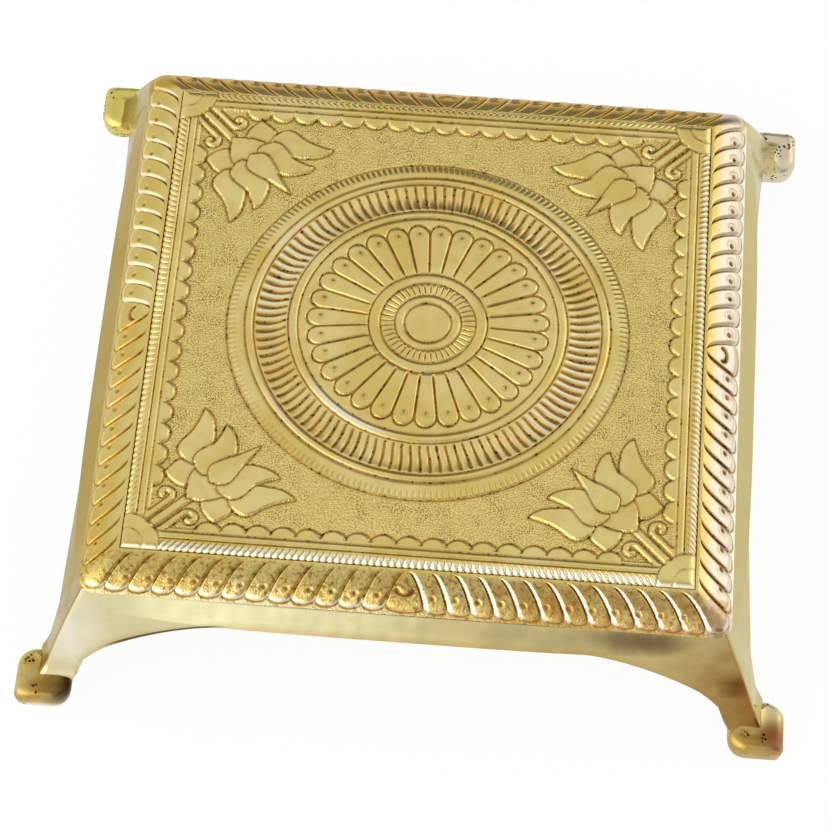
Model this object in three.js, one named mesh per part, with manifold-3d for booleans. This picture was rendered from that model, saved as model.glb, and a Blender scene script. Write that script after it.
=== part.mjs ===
// A small square low table of cast and chased brass, in millimetres, +Z up.
// The origin is on the floor under the middle of the panel, and the front side faces -Y.
// An ornamented panel sits in a sloping border frame, the frame is screwed down on four
// mitred side castings with half a leg at each end, and a toe is brazed under each leg.

import * as THREE from 'three';
import { mergeVertices } from 'three/addons/utils/BufferGeometryUtils.js';
import Module from 'manifold-3d';

// Overall sizes and fits
const panelHalf = 74.2; // from the centre line to the outside of the panel's milled edge
const panelTop = 42.2; // flat of the panel above the floor
const wall = 2.5; // casting wall of the sides
const brazeGap = 0.3; // room left between two pieces where they meet
const overrun = 4; // how far a cut runs past what it cuts

// Panel, from its edge inward
const panelThickness = 3.2;
const panelEdgeRound = 1.2; // chamfer under which the milling runs
const frameLineInset = 3.2; // from the edge to the outer line of the double frame
const frameLineSpacing = 2.1; // from there to the inner line
const fieldInset = 0.9; // and from there to the matted ground
const grooveWidth = 0.8;
const grooveDepth = 0.5;
const fieldDepth = 0.7; // ornament stands this high over the ground
const ornamentRoot = 0.5; // how deep ornament reaches into the plate
const scallopPitch = 6.5;
const scallopDepth = 3.1;
const scallopCornerRoom = 15; // the row stops this far short of the outer line's corner
const cornerDiscInset = 0.2; // from the panel's chamfer to the middle of the quarter disc
const cornerDiscRadius = 10;

// Rosette: the radius of its middle disc, then the width of each ring round it
const rosetteDome = 2.1; // rise of its middle over the flat of the panel
const discRadius = 6.3;
const beadRingWidth = 2.6;
const smallFluteWidth = 3.9;
const hubRingWidth = 3.2;
const petalRingWidth = 16.3;
const petalMargin = 2.6;
const innerBandWidth = 2.6;
const channelWidth = 9.3;
const outerBandWidth = 2.4;
const milledRingWidth = 4.4;
const rosetteLineDepth = 0.6;
const rosetteLineWidth = 0.8;
const petalCount = 31;
const petalGap = 0.8; // between two petals of the rosette
const petalRelief = 0.4; // they stand this high over the gaps
const channelDepth = 1.3; // hollow channel, in the middle of its width
const fluteCount = 106;
const fluteGap = 0.8; // between two flutes in the channel
const fluteRelief = 0.4;

// Lotus spray in each corner, measured along the diagonal from the corner of the frame line
const lotusFoot = 18; // to the outer end of its lowest leaf
const lotusSpan = 26; // from there to the tip of its middle petal
const petalStep = 0.15; // each pair of petals lies this much under the one before
const stemWidth = 4;
const tendrilRadius = 2.5;
const tendrilReach = 14; // to the middle of a curled tendril
const tendrilAcross = 5.4; // and from there to the diagonal

// Petals as shares of the flower's span: [along, across] of base, bend and tip, then width
const middlePetalShares = [[0.27, 0], [0.6, 0], [1, 0], 0.28];
const innerPetalShares = [[0.31, 0.2], [0.64, 0.2], [0.88, 0.48], 0.28];
const outerPetalShares = [[0.26, 0.38], [0.58, 0.42], [0.83, 0.71], 0.28];
const sideLeafShares = [[0, 0.46], [0.2, 0.4], [0.5, 0.1], 0.28];
const lowLeafShares = [[0, 0], [0.3, 0], [0.6, 0], 0.4];

// Border frame
const rimWidth = 11; // from the panel's edge to the tips of the scalloped lower edge
const rimHeight = 8; // from its underside to the flat of the panel
const rimLip = 0.8; // height of the lower edge
const rimCornerRadius = 5; // round of its corners, seen from above
const rimCrestDrop = 1.7; // the milled edge of the panel stands this far over the frame
const rimCrestWidth = 0.8;
const rimBulge = 0.6; // how far the sloping face swells over a flat one
const ledgeThickness = 2.6; // ledge that carries the panel
const ledgeWidth = 11.7; // how far it reaches in under the panel

// Side castings
const rimOverhang = 1.5; // the frame's lower edge stands out over their corners
const legSplay = 10.5; // a leg's corner moves this far out on its way down to the ankle
const ankleWidth = 7.8; // from a leg's inner edge to its corner, without the flare
const ankleFlare = 0.9; // extra outward sweep over the last part of the leg
const ankleFlareHeight = 4;
const sweepShare = 0.22; // how much faster the face sweeps out at the top than on average
const bowDepth = 2.9; // how far the middle of the lower edge stands outside the corner line
const bowTopShare = 0.35; // part of the bow that is left just under the frame
const bowMargin = 5.7; // the bow dies out this far from the corner
const apronDepth = 5.6; // from the top of a side to its lower edge, in the middle
const archRun = 39.4; // length of each curved end of the lower edge, seen from the front
const archPower = 1.5; // power of the superellipse that this curve follows
const flangeWidth = 11.3; // from the outer face at the top to the inner edge of the flange

// Toes
const toeTop = 6.9;
const toeStandOut = 7; // the outer face of a toe stands this far outside the leg's corner
const toeRound = 2.2; // rolled upper edge
const toeUndercut = 0.5; // the outer face leans in towards the floor
const toeEndRadius = 5; // round of each arm's end, seen from above
const toeHeelRadius = 1.8; // round of the corners, seen from above
const tenonDepth = 4; // how far a leg reaches down into its toe
const tenonThickness = 2.4;
const ankleShoulder = 0.8; // the leg stands over its tenon on the outside
const armShoulder = 1.8; // and at the inner end of each arm

// Screws
const screwRadius = 1.5;
const screwClearance = 0.3; // hole radius over screw radius
const screwHeadRadius = 2.8;
const screwHeadHeight = 1.9;
const screwSlotWidth = 0.8;
const screwSlotDepth = 0.9;
const screwHoleCover = 1; // metal left over the end of a blind hole
const panelScrewInset = 7; // from the panel's edges, at each corner
const screwHeadRoom = 2; // from there, past the head, to the step in the frame's underside
const sideScrewSpan = 90; // between the two screws of one side
const sideScrewInset = 5; // from the inner edge of a side's flange

const wasm = await Module();
wasm.setup();

// Turns a closed geometry into a solid that can be joined and cut.
function solid(geometry) {
  const bare = geometry.clone();
  bare.deleteAttribute('normal');
  bare.deleteAttribute('uv');
  const merged = mergeVertices(bare);
  return new wasm.Manifold(new wasm.Mesh({
    numProp: 3,
    vertProperties: merged.attributes.position.array,
    triVerts: new Uint32Array(merged.index.array),
  }));
}

// Turns a solid back into a geometry.
function geometryOf(body) {
  const mesh = body.getMesh();
  const geometry = new THREE.BufferGeometry();
  geometry.setAttribute('position', new THREE.BufferAttribute(mesh.vertProperties, mesh.numProp));
  geometry.setIndex(new THREE.BufferAttribute(mesh.triVerts, 1));
  geometry.computeVertexNormals();
  return geometry;
}

function joined(parts) {
  return parts.reduce((sum, part) => sum.add(part));
}

// Prism over an outline in the XY plane, from one height to another.
function prism(outline, low, high, curveSegments = 6) {
  const geometry = new THREE.ExtrudeGeometry(outline, {
    depth: high - low,
    bevelEnabled: false,
    curveSegments,
  });
  return solid(geometry.translate(0, 0, low));
}

// Square frame or plate: a closed profile of [half width, height] points, mitred in four corners.
function squareTurned(profile) {
  const points = profile.map(([half, z]) => new THREE.Vector2(half * Math.SQRT2, z));
  points.push(points[0].clone());
  const geometry = new THREE.LatheGeometry(points, 4, Math.PI / 4);
  return solid(geometry.rotateX(Math.PI / 2));
}

// Round piece from a profile of [radius, height] points that starts on the axis or closes.
function turned(profile, segments) {
  const points = profile.map(([radius, z]) => new THREE.Vector2(radius, z));
  if (points[0].x > 0) {
    points.push(points[0].clone());
  }
  const geometry = new THREE.LatheGeometry(points, segments);
  return solid(geometry.rotateX(Math.PI / 2));
}

function hole(radius, low, high, x, y) {
  const geometry = new THREE.CylinderGeometry(radius, radius, high - low, 12);
  geometry.rotateX(Math.PI / 2);
  return solid(geometry.translate(x, y, (low + high) / 2));
}

function box(width, depth, height, x, y, z) {
  return solid(new THREE.BoxGeometry(width, depth, height).translate(x, y, z));
}

// Heights shared by pieces that rest on one another
const panelBottom = panelTop - panelThickness;
const ledgeTop = panelBottom - brazeGap;
const ledgeBottom = ledgeTop - ledgeThickness;
const rimSeat = panelTop - rimHeight;
const sideTop = rimSeat - brazeGap;
const flangeBottom = sideTop - wall;
const archTop = sideTop - apronDepth;
const shoulder = toeTop + brazeGap;
const tenonBottom = shoulder - tenonDepth;

// Half widths that follow one another from the panel out to the toes
const outerLineHalf = panelHalf - frameLineInset;
const innerLineHalf = outerLineHalf - frameLineSpacing;
const fieldHalf = innerLineHalf - fieldInset;
const rimHalf = panelHalf + rimWidth;
const sideTopHalf = rimHalf - rimOverhang;
const ankleHalf = sideTopHalf + legSplay;
const legInnerHalf = ankleHalf - ankleWidth;
const archFlatHalf = legInnerHalf - archRun;
const feetHalf = ankleHalf + toeStandOut;

// Radii of the rosette's rings
const beadRingRadius = discRadius + beadRingWidth;
const smallFluteRadius = beadRingRadius + smallFluteWidth;
const hubRadius = smallFluteRadius + hubRingWidth;
const petalTipRadius = hubRadius + petalRingWidth;
const innerBandRadius = petalTipRadius + petalMargin;
const channelInnerRadius = innerBandRadius + innerBandWidth;
const channelOuterRadius = channelInnerRadius + channelWidth;
const outerBandRadius = channelOuterRadius + outerBandWidth;
const rosetteRadius = outerBandRadius + milledRingWidth;

// Places of the screws
const panelScrewPlace = panelHalf - panelScrewInset;
const sideScrewHalf = sideTopHalf - flangeWidth + sideScrewInset;
const panelScrews = [];
for (const x of [-panelScrewPlace, panelScrewPlace]) {
  for (const y of [-panelScrewPlace, panelScrewPlace]) {
    panelScrews.push([x, y]);
  }
}
const sideScrews = [];
for (let quarter = 0; quarter < 4; quarter++) {
  for (const along of [-sideScrewSpan / 2, sideScrewSpan / 2]) {
    const place = new THREE.Vector2(along, -sideScrewHalf);
    place.rotateAround(new THREE.Vector2(), quarter * Math.PI / 2);
    sideScrews.push([place.x, place.y]);
  }
}
const panelHoleTop = panelTop - grooveDepth - screwHoleCover;
const rimSlope = (panelTop - rimCrestDrop - rimSeat - rimLip) / (rimHalf - panelHalf - rimCrestWidth);
const rimHoleTop = rimSeat + rimLip + rimSlope * (rimHalf - sideScrewHalf - screwRadius) - screwHoleCover;

// Panel: plate with a double frame line, matted ground and raised ornament

function frameGroove(half) {
  return squareTurned([
    [half - grooveWidth / 2, panelTop + overrun],
    [half - grooveWidth / 2, panelTop - grooveDepth],
    [half + grooveWidth / 2, panelTop - grooveDepth],
    [half + grooveWidth / 2, panelTop + overrun],
  ]);
}

// Half discs that hang inward from the frame.
function scallops() {
  const ground = panelTop - fieldDepth - ornamentRoot;
  const count = Math.floor(2 * (outerLineHalf - scallopCornerRoom) / scallopPitch);
  const half = new THREE.Shape();
  half.moveTo(-scallopPitch / 2, ornamentRoot);
  half.lineTo(-scallopPitch / 2, 0);
  half.absellipse(0, 0, scallopPitch / 2, scallopDepth, Math.PI, 2 * Math.PI, false);
  half.lineTo(scallopPitch / 2, ornamentRoot);
  const row = [];
  for (let quarter = 0; quarter < 4; quarter++) {
    for (let i = 0; i < count; i++) {
      const one = new THREE.ExtrudeGeometry(half, {
        depth: panelTop - ground,
        bevelEnabled: false,
        curveSegments: 3,
      });
      one.translate((i - (count - 1) / 2) * scallopPitch, fieldHalf, ground);
      row.push(solid(one.rotateZ(quarter * Math.PI / 2)));
    }
  }
  return joined(row);
}

function cornerDiscs() {
  const ground = panelTop - fieldDepth - ornamentRoot;
  const middle = panelHalf - panelEdgeRound - cornerDiscInset;
  const quarterDisc = new THREE.Shape();
  quarterDisc.moveTo(middle, middle);
  quarterDisc.absarc(middle, middle, cornerDiscRadius, Math.PI, 1.5 * Math.PI, false);
  const discs = [];
  for (let quarter = 0; quarter < 4; quarter++) {
    const disc = new THREE.ExtrudeGeometry(quarterDisc, {
      depth: panelTop - ground,
      bevelEnabled: false,
      curveSegments: 8,
    });
    discs.push(solid(disc.translate(0, 0, ground).rotateZ(quarter * Math.PI / 2)));
  }
  return joined(discs);
}

// Height of the domed rosette at a radius.
function domeAt(radius) {
  return panelTop + rosetteDome * (1 - (radius / rosetteRadius) ** 2);
}

// Profile across the channel: a half wave of a depth, from one distance inside its edges.
function channelFloor(depth, inset) {
  const rows = 3;
  const points = [];
  for (let i = 0; i <= rows; i++) {
    const radius = channelInnerRadius + inset + (channelWidth - 2 * inset) * i / rows;
    const share = (radius - channelInnerRadius) / channelWidth;
    points.push([radius, domeAt(radius) - depth * Math.sin(Math.PI * share)]);
  }
  return points;
}

// Ring of the rosette under a profile of [radius, height] points.
function rosetteRing(profile) {
  const root = panelTop - fieldDepth - ornamentRoot;
  const [inner, outer] = [profile[0][0], profile[profile.length - 1][0]];
  return turned([[inner, root], ...profile, [outer, root]].reverse(), 48);
}

// What a ring keeps inside an outline drawn along +X and repeated round its middle.
function spokes(ring, outline, count) {
  const one = relief(outline, domeAt(0), 3);
  const all = joined(Array.from({ length: count }, (_, i) => one.rotate([0, 0, 360 * i / count])));
  return ring.intersect(all);
}

// Wreath of petals that widen outward and end in a half round.
function wreath() {
  const start = hubRadius + rosetteLineWidth;
  const widening = Math.tan(Math.PI / petalCount);
  const round = (petalTipRadius + petalGap / 2) / (1 + widening);
  const narrow = start * widening - petalGap / 2;
  const wide = round * widening - petalGap / 2;
  const outline = new THREE.Shape();
  outline.moveTo(start, -narrow);
  outline.absarc(round, 0, wide, -Math.PI / 2, Math.PI / 2, false);
  outline.lineTo(start, narrow);
  const ring = rosetteRing([[start, domeAt(start)], [petalTipRadius, domeAt(petalTipRadius)]]);
  return spokes(ring, outline, petalCount);
}

// Flutes that cross the hollow channel.
function flutes() {
  const widening = Math.tan(Math.PI / fluteCount);
  const narrow = innerBandRadius * widening - fluteGap / 2;
  const wide = outerBandRadius * widening - fluteGap / 2;
  const outline = new THREE.Shape();
  outline.moveTo(innerBandRadius, -narrow);
  outline.lineTo(outerBandRadius, -wide);
  outline.lineTo(outerBandRadius, wide);
  outline.lineTo(innerBandRadius, narrow);
  const ring = rosetteRing(channelFloor(channelDepth - fluteRelief, rosetteLineWidth / 2));
  return spokes(ring, outline, fluteCount);
}

// Rosette turned with a sunk line at each radius, its petals and its flutes.
function rosette() {
  const profile = [[0, domeAt(0)], [discRadius - rosetteLineWidth, domeAt(0)]];
  for (const radius of [discRadius, beadRingRadius, smallFluteRadius]) {
    profile.push([radius, domeAt(radius) - rosetteLineDepth]);
    profile.push([radius + rosetteLineWidth, domeAt(radius + rosetteLineWidth)]);
  }
  const petalEnd = petalTipRadius + petalGap;
  profile.push([hubRadius, domeAt(hubRadius) - rosetteLineDepth]);
  profile.push([hubRadius + rosetteLineWidth, domeAt(hubRadius) - petalRelief]);
  profile.push([petalEnd - petalGap / 2, domeAt(petalEnd) - petalRelief]);
  profile.push([petalEnd, domeAt(petalEnd)]);
  profile.push([innerBandRadius, domeAt(innerBandRadius) - rosetteLineDepth]);
  profile.push([channelInnerRadius - rosetteLineWidth, domeAt(channelInnerRadius)]);
  profile.push(...channelFloor(channelDepth, 0));
  profile.push([outerBandRadius, domeAt(outerBandRadius)]);
  profile.push([outerBandRadius + rosetteLineWidth, domeAt(outerBandRadius) - rosetteLineDepth]);
  profile.push([rosetteRadius, panelTop - rosetteLineDepth]);
  return joined([rosetteRing(profile), wreath(), flutes()]);
}

// Flat relief of an outline, down into the plate.
function relief(outline, top, curveSegments = 5) {
  return prism(outline, panelTop - fieldDepth - ornamentRoot, top, curveSegments);
}

// Petal about a bent middle line, with a round base and a pointed tip.
function petal([base, bend, tip, widthShare], side) {
  const place = ([along, across]) => new THREE.Vector2(
    lotusFoot + lotusSpan * along,
    lotusSpan * across * side,
  );
  const line = new THREE.QuadraticBezierCurve(place(base), place(bend), place(tip));
  const steps = 10;
  const left = [];
  const right = [];
  for (let i = 0; i <= steps; i++) {
    const share = (i / steps) ** 1.5;
    // Widest, at 1, a third of the way from the base.
    const swell = 1.5 * Math.sqrt(3 * share) * (1 - share);
    const across = line.getTangent(share).rotateAround(new THREE.Vector2(), Math.PI / 2);
    across.multiplyScalar(swell * widthShare * lotusSpan / 2);
    left.push(line.getPoint(share).add(across));
    if (i > 0 && i < steps) {
      right.push(line.getPoint(share).sub(across));
    }
  }
  return new THREE.Shape([...left, ...right.reverse()]);
}

// Lotus spray: a stem with two curled tendrils, three leaves and five petals one over another.
function lotusSprays() {
  const stem = new THREE.Shape();
  stem.moveTo(0, -stemWidth / 2);
  stem.lineTo(lotusFoot + stemWidth, -stemWidth / 2);
  stem.lineTo(lotusFoot + stemWidth, stemWidth / 2);
  stem.lineTo(0, stemWidth / 2);
  const layers = [
    relief(petal(middlePetalShares, 1), panelTop),
    relief(petal(lowLeafShares, 1), panelTop - petalStep),
    relief(stem, panelTop - 2 * petalStep),
  ];
  for (const side of [-1, 1]) {
    const tendril = new THREE.Shape();
    tendril.absarc(tendrilReach, side * tendrilAcross, tendrilRadius, 0, 2 * Math.PI, false);
    layers.push(relief(petal(innerPetalShares, side), panelTop - petalStep));
    layers.push(relief(petal(outerPetalShares, side), panelTop - 2 * petalStep));
    layers.push(relief(petal(sideLeafShares, side), panelTop - 2 * petalStep));
    layers.push(relief(tendril, panelTop - 2 * petalStep));
  }
  // The spray is drawn along +X from the corner, then turned on to its diagonal.
  const spray = joined(layers).rotate([0, 0, 225]).translate([outerLineHalf, outerLineHalf, 0]);
  return joined([0, 1, 2, 3].map((quarter) => spray.rotate([0, 0, quarter * 90])));
}

function topPanel() {
  const plate = squareTurned([
    [0, panelBottom],
    [panelHalf, panelBottom],
    [panelHalf, panelTop - panelEdgeRound],
    [panelHalf - panelEdgeRound, panelTop],
    [fieldHalf, panelTop],
    [fieldHalf, panelTop - fieldDepth],
    [0, panelTop - fieldDepth],
  ]);
  let panel = plate
    .subtract(frameGroove(outerLineHalf))
    .subtract(frameGroove(innerLineHalf));
  panel = joined([panel, scallops(), cornerDiscs(), lotusSprays(), rosette()]);
  for (const [x, y] of panelScrews) {
    panel = panel.subtract(hole(screwRadius + screwClearance, panelBottom - overrun, panelHoleTop, x, y));
  }
  return panel;
}

// Border frame: a ledge for the panel, a swelling slope and a flat seat on the sides

function rimOutline() {
  const middle = rimHalf - rimCornerRadius;
  const outline = new THREE.Shape();
  outline.absarc(middle, middle, rimCornerRadius, 0, 0.5 * Math.PI, false);
  outline.absarc(-middle, middle, rimCornerRadius, 0.5 * Math.PI, Math.PI, false);
  outline.absarc(-middle, -middle, rimCornerRadius, Math.PI, 1.5 * Math.PI, false);
  outline.absarc(middle, -middle, rimCornerRadius, 1.5 * Math.PI, 2 * Math.PI, false);
  return outline;
}

function gadroonRim() {
  const crest = panelTop - rimCrestDrop;
  const slopeStart = panelHalf + brazeGap + rimCrestWidth;
  const slopeEnd = rimSeat + rimLip;
  const seatInner = panelScrewPlace + screwHeadRadius + screwHeadRoom;
  const slope = [];
  for (let i = 0; i <= 6; i++) {
    const share = i / 6;
    const swell = rimBulge * Math.sin(Math.PI * share);
    slope.push([
      slopeStart + (rimHalf - slopeStart) * share,
      crest + (slopeEnd - crest) * share + swell,
    ]);
  }
  let rim = squareTurned([
    [panelHalf - ledgeWidth, ledgeTop],
    [panelHalf - ledgeWidth, ledgeBottom],
    [seatInner, ledgeBottom],
    [seatInner, rimSeat],
    [rimHalf, rimSeat],
    ...slope.reverse(),
    [panelHalf + brazeGap, crest],
    [panelHalf + brazeGap, ledgeTop],
  ]);
  rim = rim.intersect(prism(rimOutline(), ledgeBottom - overrun, panelTop + overrun));
  for (const [x, y] of panelScrews) {
    rim = rim.subtract(hole(screwRadius + screwClearance, ledgeBottom - overrun, ledgeTop + overrun, x, y));
  }
  for (const [x, y] of sideScrews) {
    rim = rim.subtract(hole(screwRadius + screwClearance, rimSeat - overrun, rimHoleTop, x, y));
  }
  return rim;
}

// Side casting: outer face, bow, arch and mitres

// Outer face at a corner: half width at a height, a slowing outward sweep with a flared ankle.
function sweptHalf(z) {
  const share = (sideTop - z) / (sideTop - shoulder);
  const sweep = (1 + sweepShare) * share - sweepShare * share ** 2;
  const flare = Math.max(0, 1 - (z - shoulder) / ankleFlareHeight);
  return sideTopHalf + (ankleHalf - sideTopHalf) * sweep + ankleFlare * flare ** 2;
}

// How far the face stands outside the corner line, away from the corners.
function bow(along, z) {
  const down = Math.min(1, Math.max(0, (sideTop - z) / (sideTop - archTop)));
  const across = 1 - Math.min(1, Math.abs(along) / (sideTopHalf - bowMargin)) ** 4;
  return bowDepth * across * (bowTopShare + (1 - bowTopShare) * down);
}

// Height of the lower edge at a distance from the middle of the side.
function archAt(along) {
  const share = Math.max(0, Math.abs(along) - archFlatHalf) / (legInnerHalf - archFlatHalf);
  return shoulder + (archTop - shoulder) * (1 - share ** archPower) ** (1 / archPower);
}

function archCutter() {
  const outline = new THREE.Shape();
  const tenonInner = legInnerHalf + armShoulder;
  outline.moveTo(-tenonInner, tenonBottom - overrun);
  outline.lineTo(-tenonInner, shoulder);
  const steps = 14;
  const edge = [];
  for (let i = 0; i <= steps; i++) {
    const along = legInnerHalf - (legInnerHalf - archFlatHalf) * (i / steps) ** 1.5;
    edge.push([along, archAt(along)]);
  }
  for (const [along, z] of edge) {
    outline.lineTo(-along, z);
  }
  for (const [along, z] of edge.reverse()) {
    outline.lineTo(along, z);
  }
  outline.lineTo(tenonInner, shoulder);
  outline.lineTo(tenonInner, tenonBottom - overrun);
  const geometry = new THREE.ExtrudeGeometry(outline, { depth: feetHalf, bevelEnabled: false });
  return solid(geometry.rotateX(Math.PI / 2));
}

// Wedge between the two mitre planes of the front side.
function mitreWedge() {
  const inset = brazeGap / 2 * Math.SQRT2;
  const reach = feetHalf + overrun;
  const outline = new THREE.Shape();
  outline.moveTo(0, -inset);
  outline.lineTo(-reach, -reach - inset);
  outline.lineTo(reach, -reach - inset);
  return prism(outline, -overrun, panelTop + overrun);
}

function sideCasting() {
  const outer = [];
  const inner = [];
  const rows = 12;
  for (let i = 0; i <= rows; i++) {
    const z = sideTop + (shoulder - sideTop) * i / rows;
    outer.push([sweptHalf(z), z]);
    if (z < flangeBottom) {
      inner.push([sweptHalf(z) - wall, z]);
    }
  }
  const tenonOuter = sweptHalf(shoulder) - ankleShoulder;
  const tenonInner = tenonOuter - tenonThickness;
  const profile = [
    [sideTopHalf - flangeWidth, sideTop],
    ...outer,
    [tenonOuter, shoulder],
    [tenonOuter, tenonBottom],
    [tenonInner, tenonBottom],
    ...inner.reverse(),
    [sweptHalf(flangeBottom) - wall, flangeBottom],
    [sideTopHalf - flangeWidth, flangeBottom],
  ];
  const outline = new THREE.Shape(profile.map(([half, z]) => new THREE.Vector2(half, z)));
  const length = 2 * (feetHalf + overrun);
  const geometry = new THREE.ExtrudeGeometry(outline, { depth: length, steps: 24, bevelEnabled: false });
  geometry.translate(0, 0, -length / 2);
  // Half width goes to -Y, height to Z and the extrusion to X.
  const place = geometry.attributes.position;
  for (let i = 0; i < place.count; i++) {
    const half = place.getX(i);
    const z = place.getY(i);
    const along = place.getZ(i);
    place.setXYZ(i, -along, -half - bow(along, z), z);
  }
  let side = solid(geometry).subtract(archCutter()).intersect(mitreWedge());
  for (const along of [-sideScrewSpan / 2, sideScrewSpan / 2]) {
    side = side.subtract(
      hole(screwRadius + screwClearance, flangeBottom - overrun, sideTop + overrun, along, -sideScrewHalf),
    );
  }
  return side;
}

// Toe: a block under the leg's corner that stands out past the leg, with a socket for its tenon

function toeOutline() {
  const inner = legInnerHalf;
  const outer = feetHalf;
  const end = toeEndRadius;
  const heel = toeHeelRadius;
  const outline = new THREE.Shape();
  outline.moveTo(inner, -inner - heel);
  outline.absarc(inner + end, -outer + end, end, Math.PI, 1.5 * Math.PI, false);
  outline.absarc(outer - heel, -outer + heel, heel, 1.5 * Math.PI, 2 * Math.PI, false);
  outline.absarc(outer - end, -inner - end, end, 0, Math.PI / 2, false);
  outline.absarc(inner + heel, -inner - heel, heel, Math.PI / 2, Math.PI, false);
  return outline;
}

function toe() {
  const profile = [
    [legInnerHalf - overrun, toeTop],
    [legInnerHalf - overrun, 0],
    [feetHalf - toeUndercut, 0],
  ];
  for (let i = 0; i <= 4; i++) {
    const turn = i / 4 * Math.PI / 2;
    profile.push([
      feetHalf - toeRound * (1 - Math.cos(turn)),
      toeTop - toeRound * (1 - Math.sin(turn)),
    ]);
  }
  const rolled = squareTurned(profile).intersect(prism(toeOutline(), -overrun, toeTop + overrun, 4));
  const tenonOuter = sweptHalf(shoulder) - ankleShoulder + brazeGap;
  const tenonInner = sweptHalf(shoulder) - ankleShoulder - tenonThickness - brazeGap;
  const tenonEnd = legInnerHalf + armShoulder - brazeGap;
  const socket = new THREE.Shape();
  socket.moveTo(tenonEnd, -tenonInner);
  socket.lineTo(tenonEnd, -tenonOuter);
  socket.lineTo(tenonOuter, -tenonOuter);
  socket.lineTo(tenonOuter, -tenonEnd);
  socket.lineTo(tenonInner, -tenonEnd);
  socket.lineTo(tenonInner, -tenonInner);
  const pocket = prism(socket, tenonBottom - brazeGap, toeTop + overrun);
  return rolled.subtract(pocket);
}

// Pan-head screw with a slotted head, pointing up.
function screw(seat, tip, x, y) {
  const head = seat - brazeGap;
  const bottom = head - screwHeadHeight;
  const shank = turned([
    [0, bottom],
    [screwHeadRadius, bottom],
    [screwHeadRadius, head],
    [screwRadius, head],
    [screwRadius, tip],
    [0, tip],
  ], 12);
  const across = 2 * (screwHeadRadius + overrun);
  const slot = box(across, screwSlotWidth, screwSlotDepth, 0, 0, bottom);
  return shank.subtract(slot).translate([x, y, 0]);
}

// Materials: polished plain brass, chased brass with brown in its hollows, cast toes, turned screws

const polished = { color: 0xcfb568, roughness: 0.28, metalness: 1 };
const chased = { color: 0xc9a852, roughness: 0.4, metalness: 1 };
const rough = { color: 0xb4903f, roughness: 0.5, metalness: 1 };
const fixing = { color: 0x9a7b3a, roughness: 0.45, metalness: 1 };

const table = new THREE.Group();

function addPiece(name, body, look, quarter = 0) {
  const mesh = new THREE.Mesh(geometryOf(body), new THREE.MeshStandardMaterial(look));
  mesh.name = name;
  mesh.rotation.z = quarter * Math.PI / 2;
  table.add(mesh);
}

addPiece('top_panel', topPanel(), chased);
addPiece('gadroon_rim', gadroonRim(), chased);

const side = sideCasting();
['front', 'right', 'back', 'left'].forEach((place, quarter) => {
  addPiece(`side_${place}`, side, polished, quarter);
});

const foot = toe();
['front_right', 'back_right', 'back_left', 'front_left'].forEach((place, quarter) => {
  addPiece(`toe_${place}`, foot, rough, quarter);
});

panelScrews.forEach(([x, y], i) => {
  addPiece(`panel_screw_${i + 1}`, screw(ledgeBottom, panelHoleTop - brazeGap, x, y), fixing);
});
sideScrews.forEach(([x, y], i) => {
  addPiece(`side_screw_${i + 1}`, screw(flangeBottom, rimHoleTop - brazeGap, x, y), fixing);
});

export default table;
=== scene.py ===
"""A small square low table of cast and chased brass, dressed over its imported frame.

Lengths are in millimetres and become metres when a mesh is laid. +Z is up, the front side
faces -Y, and the origin is on the floor under the middle of the panel.
"""
import math

import bpy
import numpy as np
from mathutils import Matrix, Vector


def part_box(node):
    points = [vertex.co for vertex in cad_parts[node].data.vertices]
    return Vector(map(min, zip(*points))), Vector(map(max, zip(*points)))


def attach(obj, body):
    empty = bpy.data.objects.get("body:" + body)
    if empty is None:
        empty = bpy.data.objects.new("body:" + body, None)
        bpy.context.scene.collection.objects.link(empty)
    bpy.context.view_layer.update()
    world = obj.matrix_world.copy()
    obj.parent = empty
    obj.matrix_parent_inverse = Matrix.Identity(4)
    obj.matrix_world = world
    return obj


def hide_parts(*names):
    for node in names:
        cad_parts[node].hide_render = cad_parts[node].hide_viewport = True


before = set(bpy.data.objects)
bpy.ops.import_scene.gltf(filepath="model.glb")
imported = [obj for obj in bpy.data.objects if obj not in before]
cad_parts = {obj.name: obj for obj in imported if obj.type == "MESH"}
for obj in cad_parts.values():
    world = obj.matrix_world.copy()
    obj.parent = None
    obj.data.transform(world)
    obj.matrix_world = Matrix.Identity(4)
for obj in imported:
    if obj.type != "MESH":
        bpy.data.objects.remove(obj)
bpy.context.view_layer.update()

# Panel plate
# The flat plate that carries all the chasing, cast in yellow brass. Its rounded edge is milled
# with short upright ribs, and it drops into the border frame from above.
MM = 0.001
panel_low, panel_high = (np.array(corner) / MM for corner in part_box("top_panel"))
panel_half = panel_high[0]
rosette_dome = 2.1
panel_top = panel_high[2] - rosette_dome
bed_depth = 2.2
panel_bed = panel_top - bed_depth
plate_height = panel_top - panel_low[2]
bottom_bevel = 0.2
frame_line_half = panel_half - 3.2
frame_line_gap = 2.1
frame_line_width = 0.32
frame_line_depth = 0.32
edge_round = 2.6
edge_wall = 1.7
milling_count = 83
milling_relief = 0.55
milling_slant = 0.15
milling_end_half = 64.5
corner_disc_half = 73.2
corner_disc_radius = 8.7
corner_ring_radius = 9
corner_arc_radius = 4.7
frame_crown = 0.12
line_tarnish = 0.75
# Painted highlight on the ribs of each edge, how strong, from the front round by the right
bead_highlight_shares = (1, 0.7, 0.25, 0.4)
# Where the colours of the border's four sides begin and are full, from the middle of the table:
# painted reflections on the left, back and right, and rougher, browner metal in front
border_front = (-73.8, -76.5)
border_left = (-76, -79)
border_back = (75, 78)
border_right = (75.3, 79)


def bump(distance, width):
    """Bell curve: 1 on a line, falling with the squared distance over the width."""
    return np.exp(-(distance / width) ** 2)


def ease(value, low, high):
    """Smooth step from 0 at low to 1 at high, with no slope at either end."""
    share = np.clip((value - low) / (high - low), 0, 1)
    return share * share * (3 - 2 * share)


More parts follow.
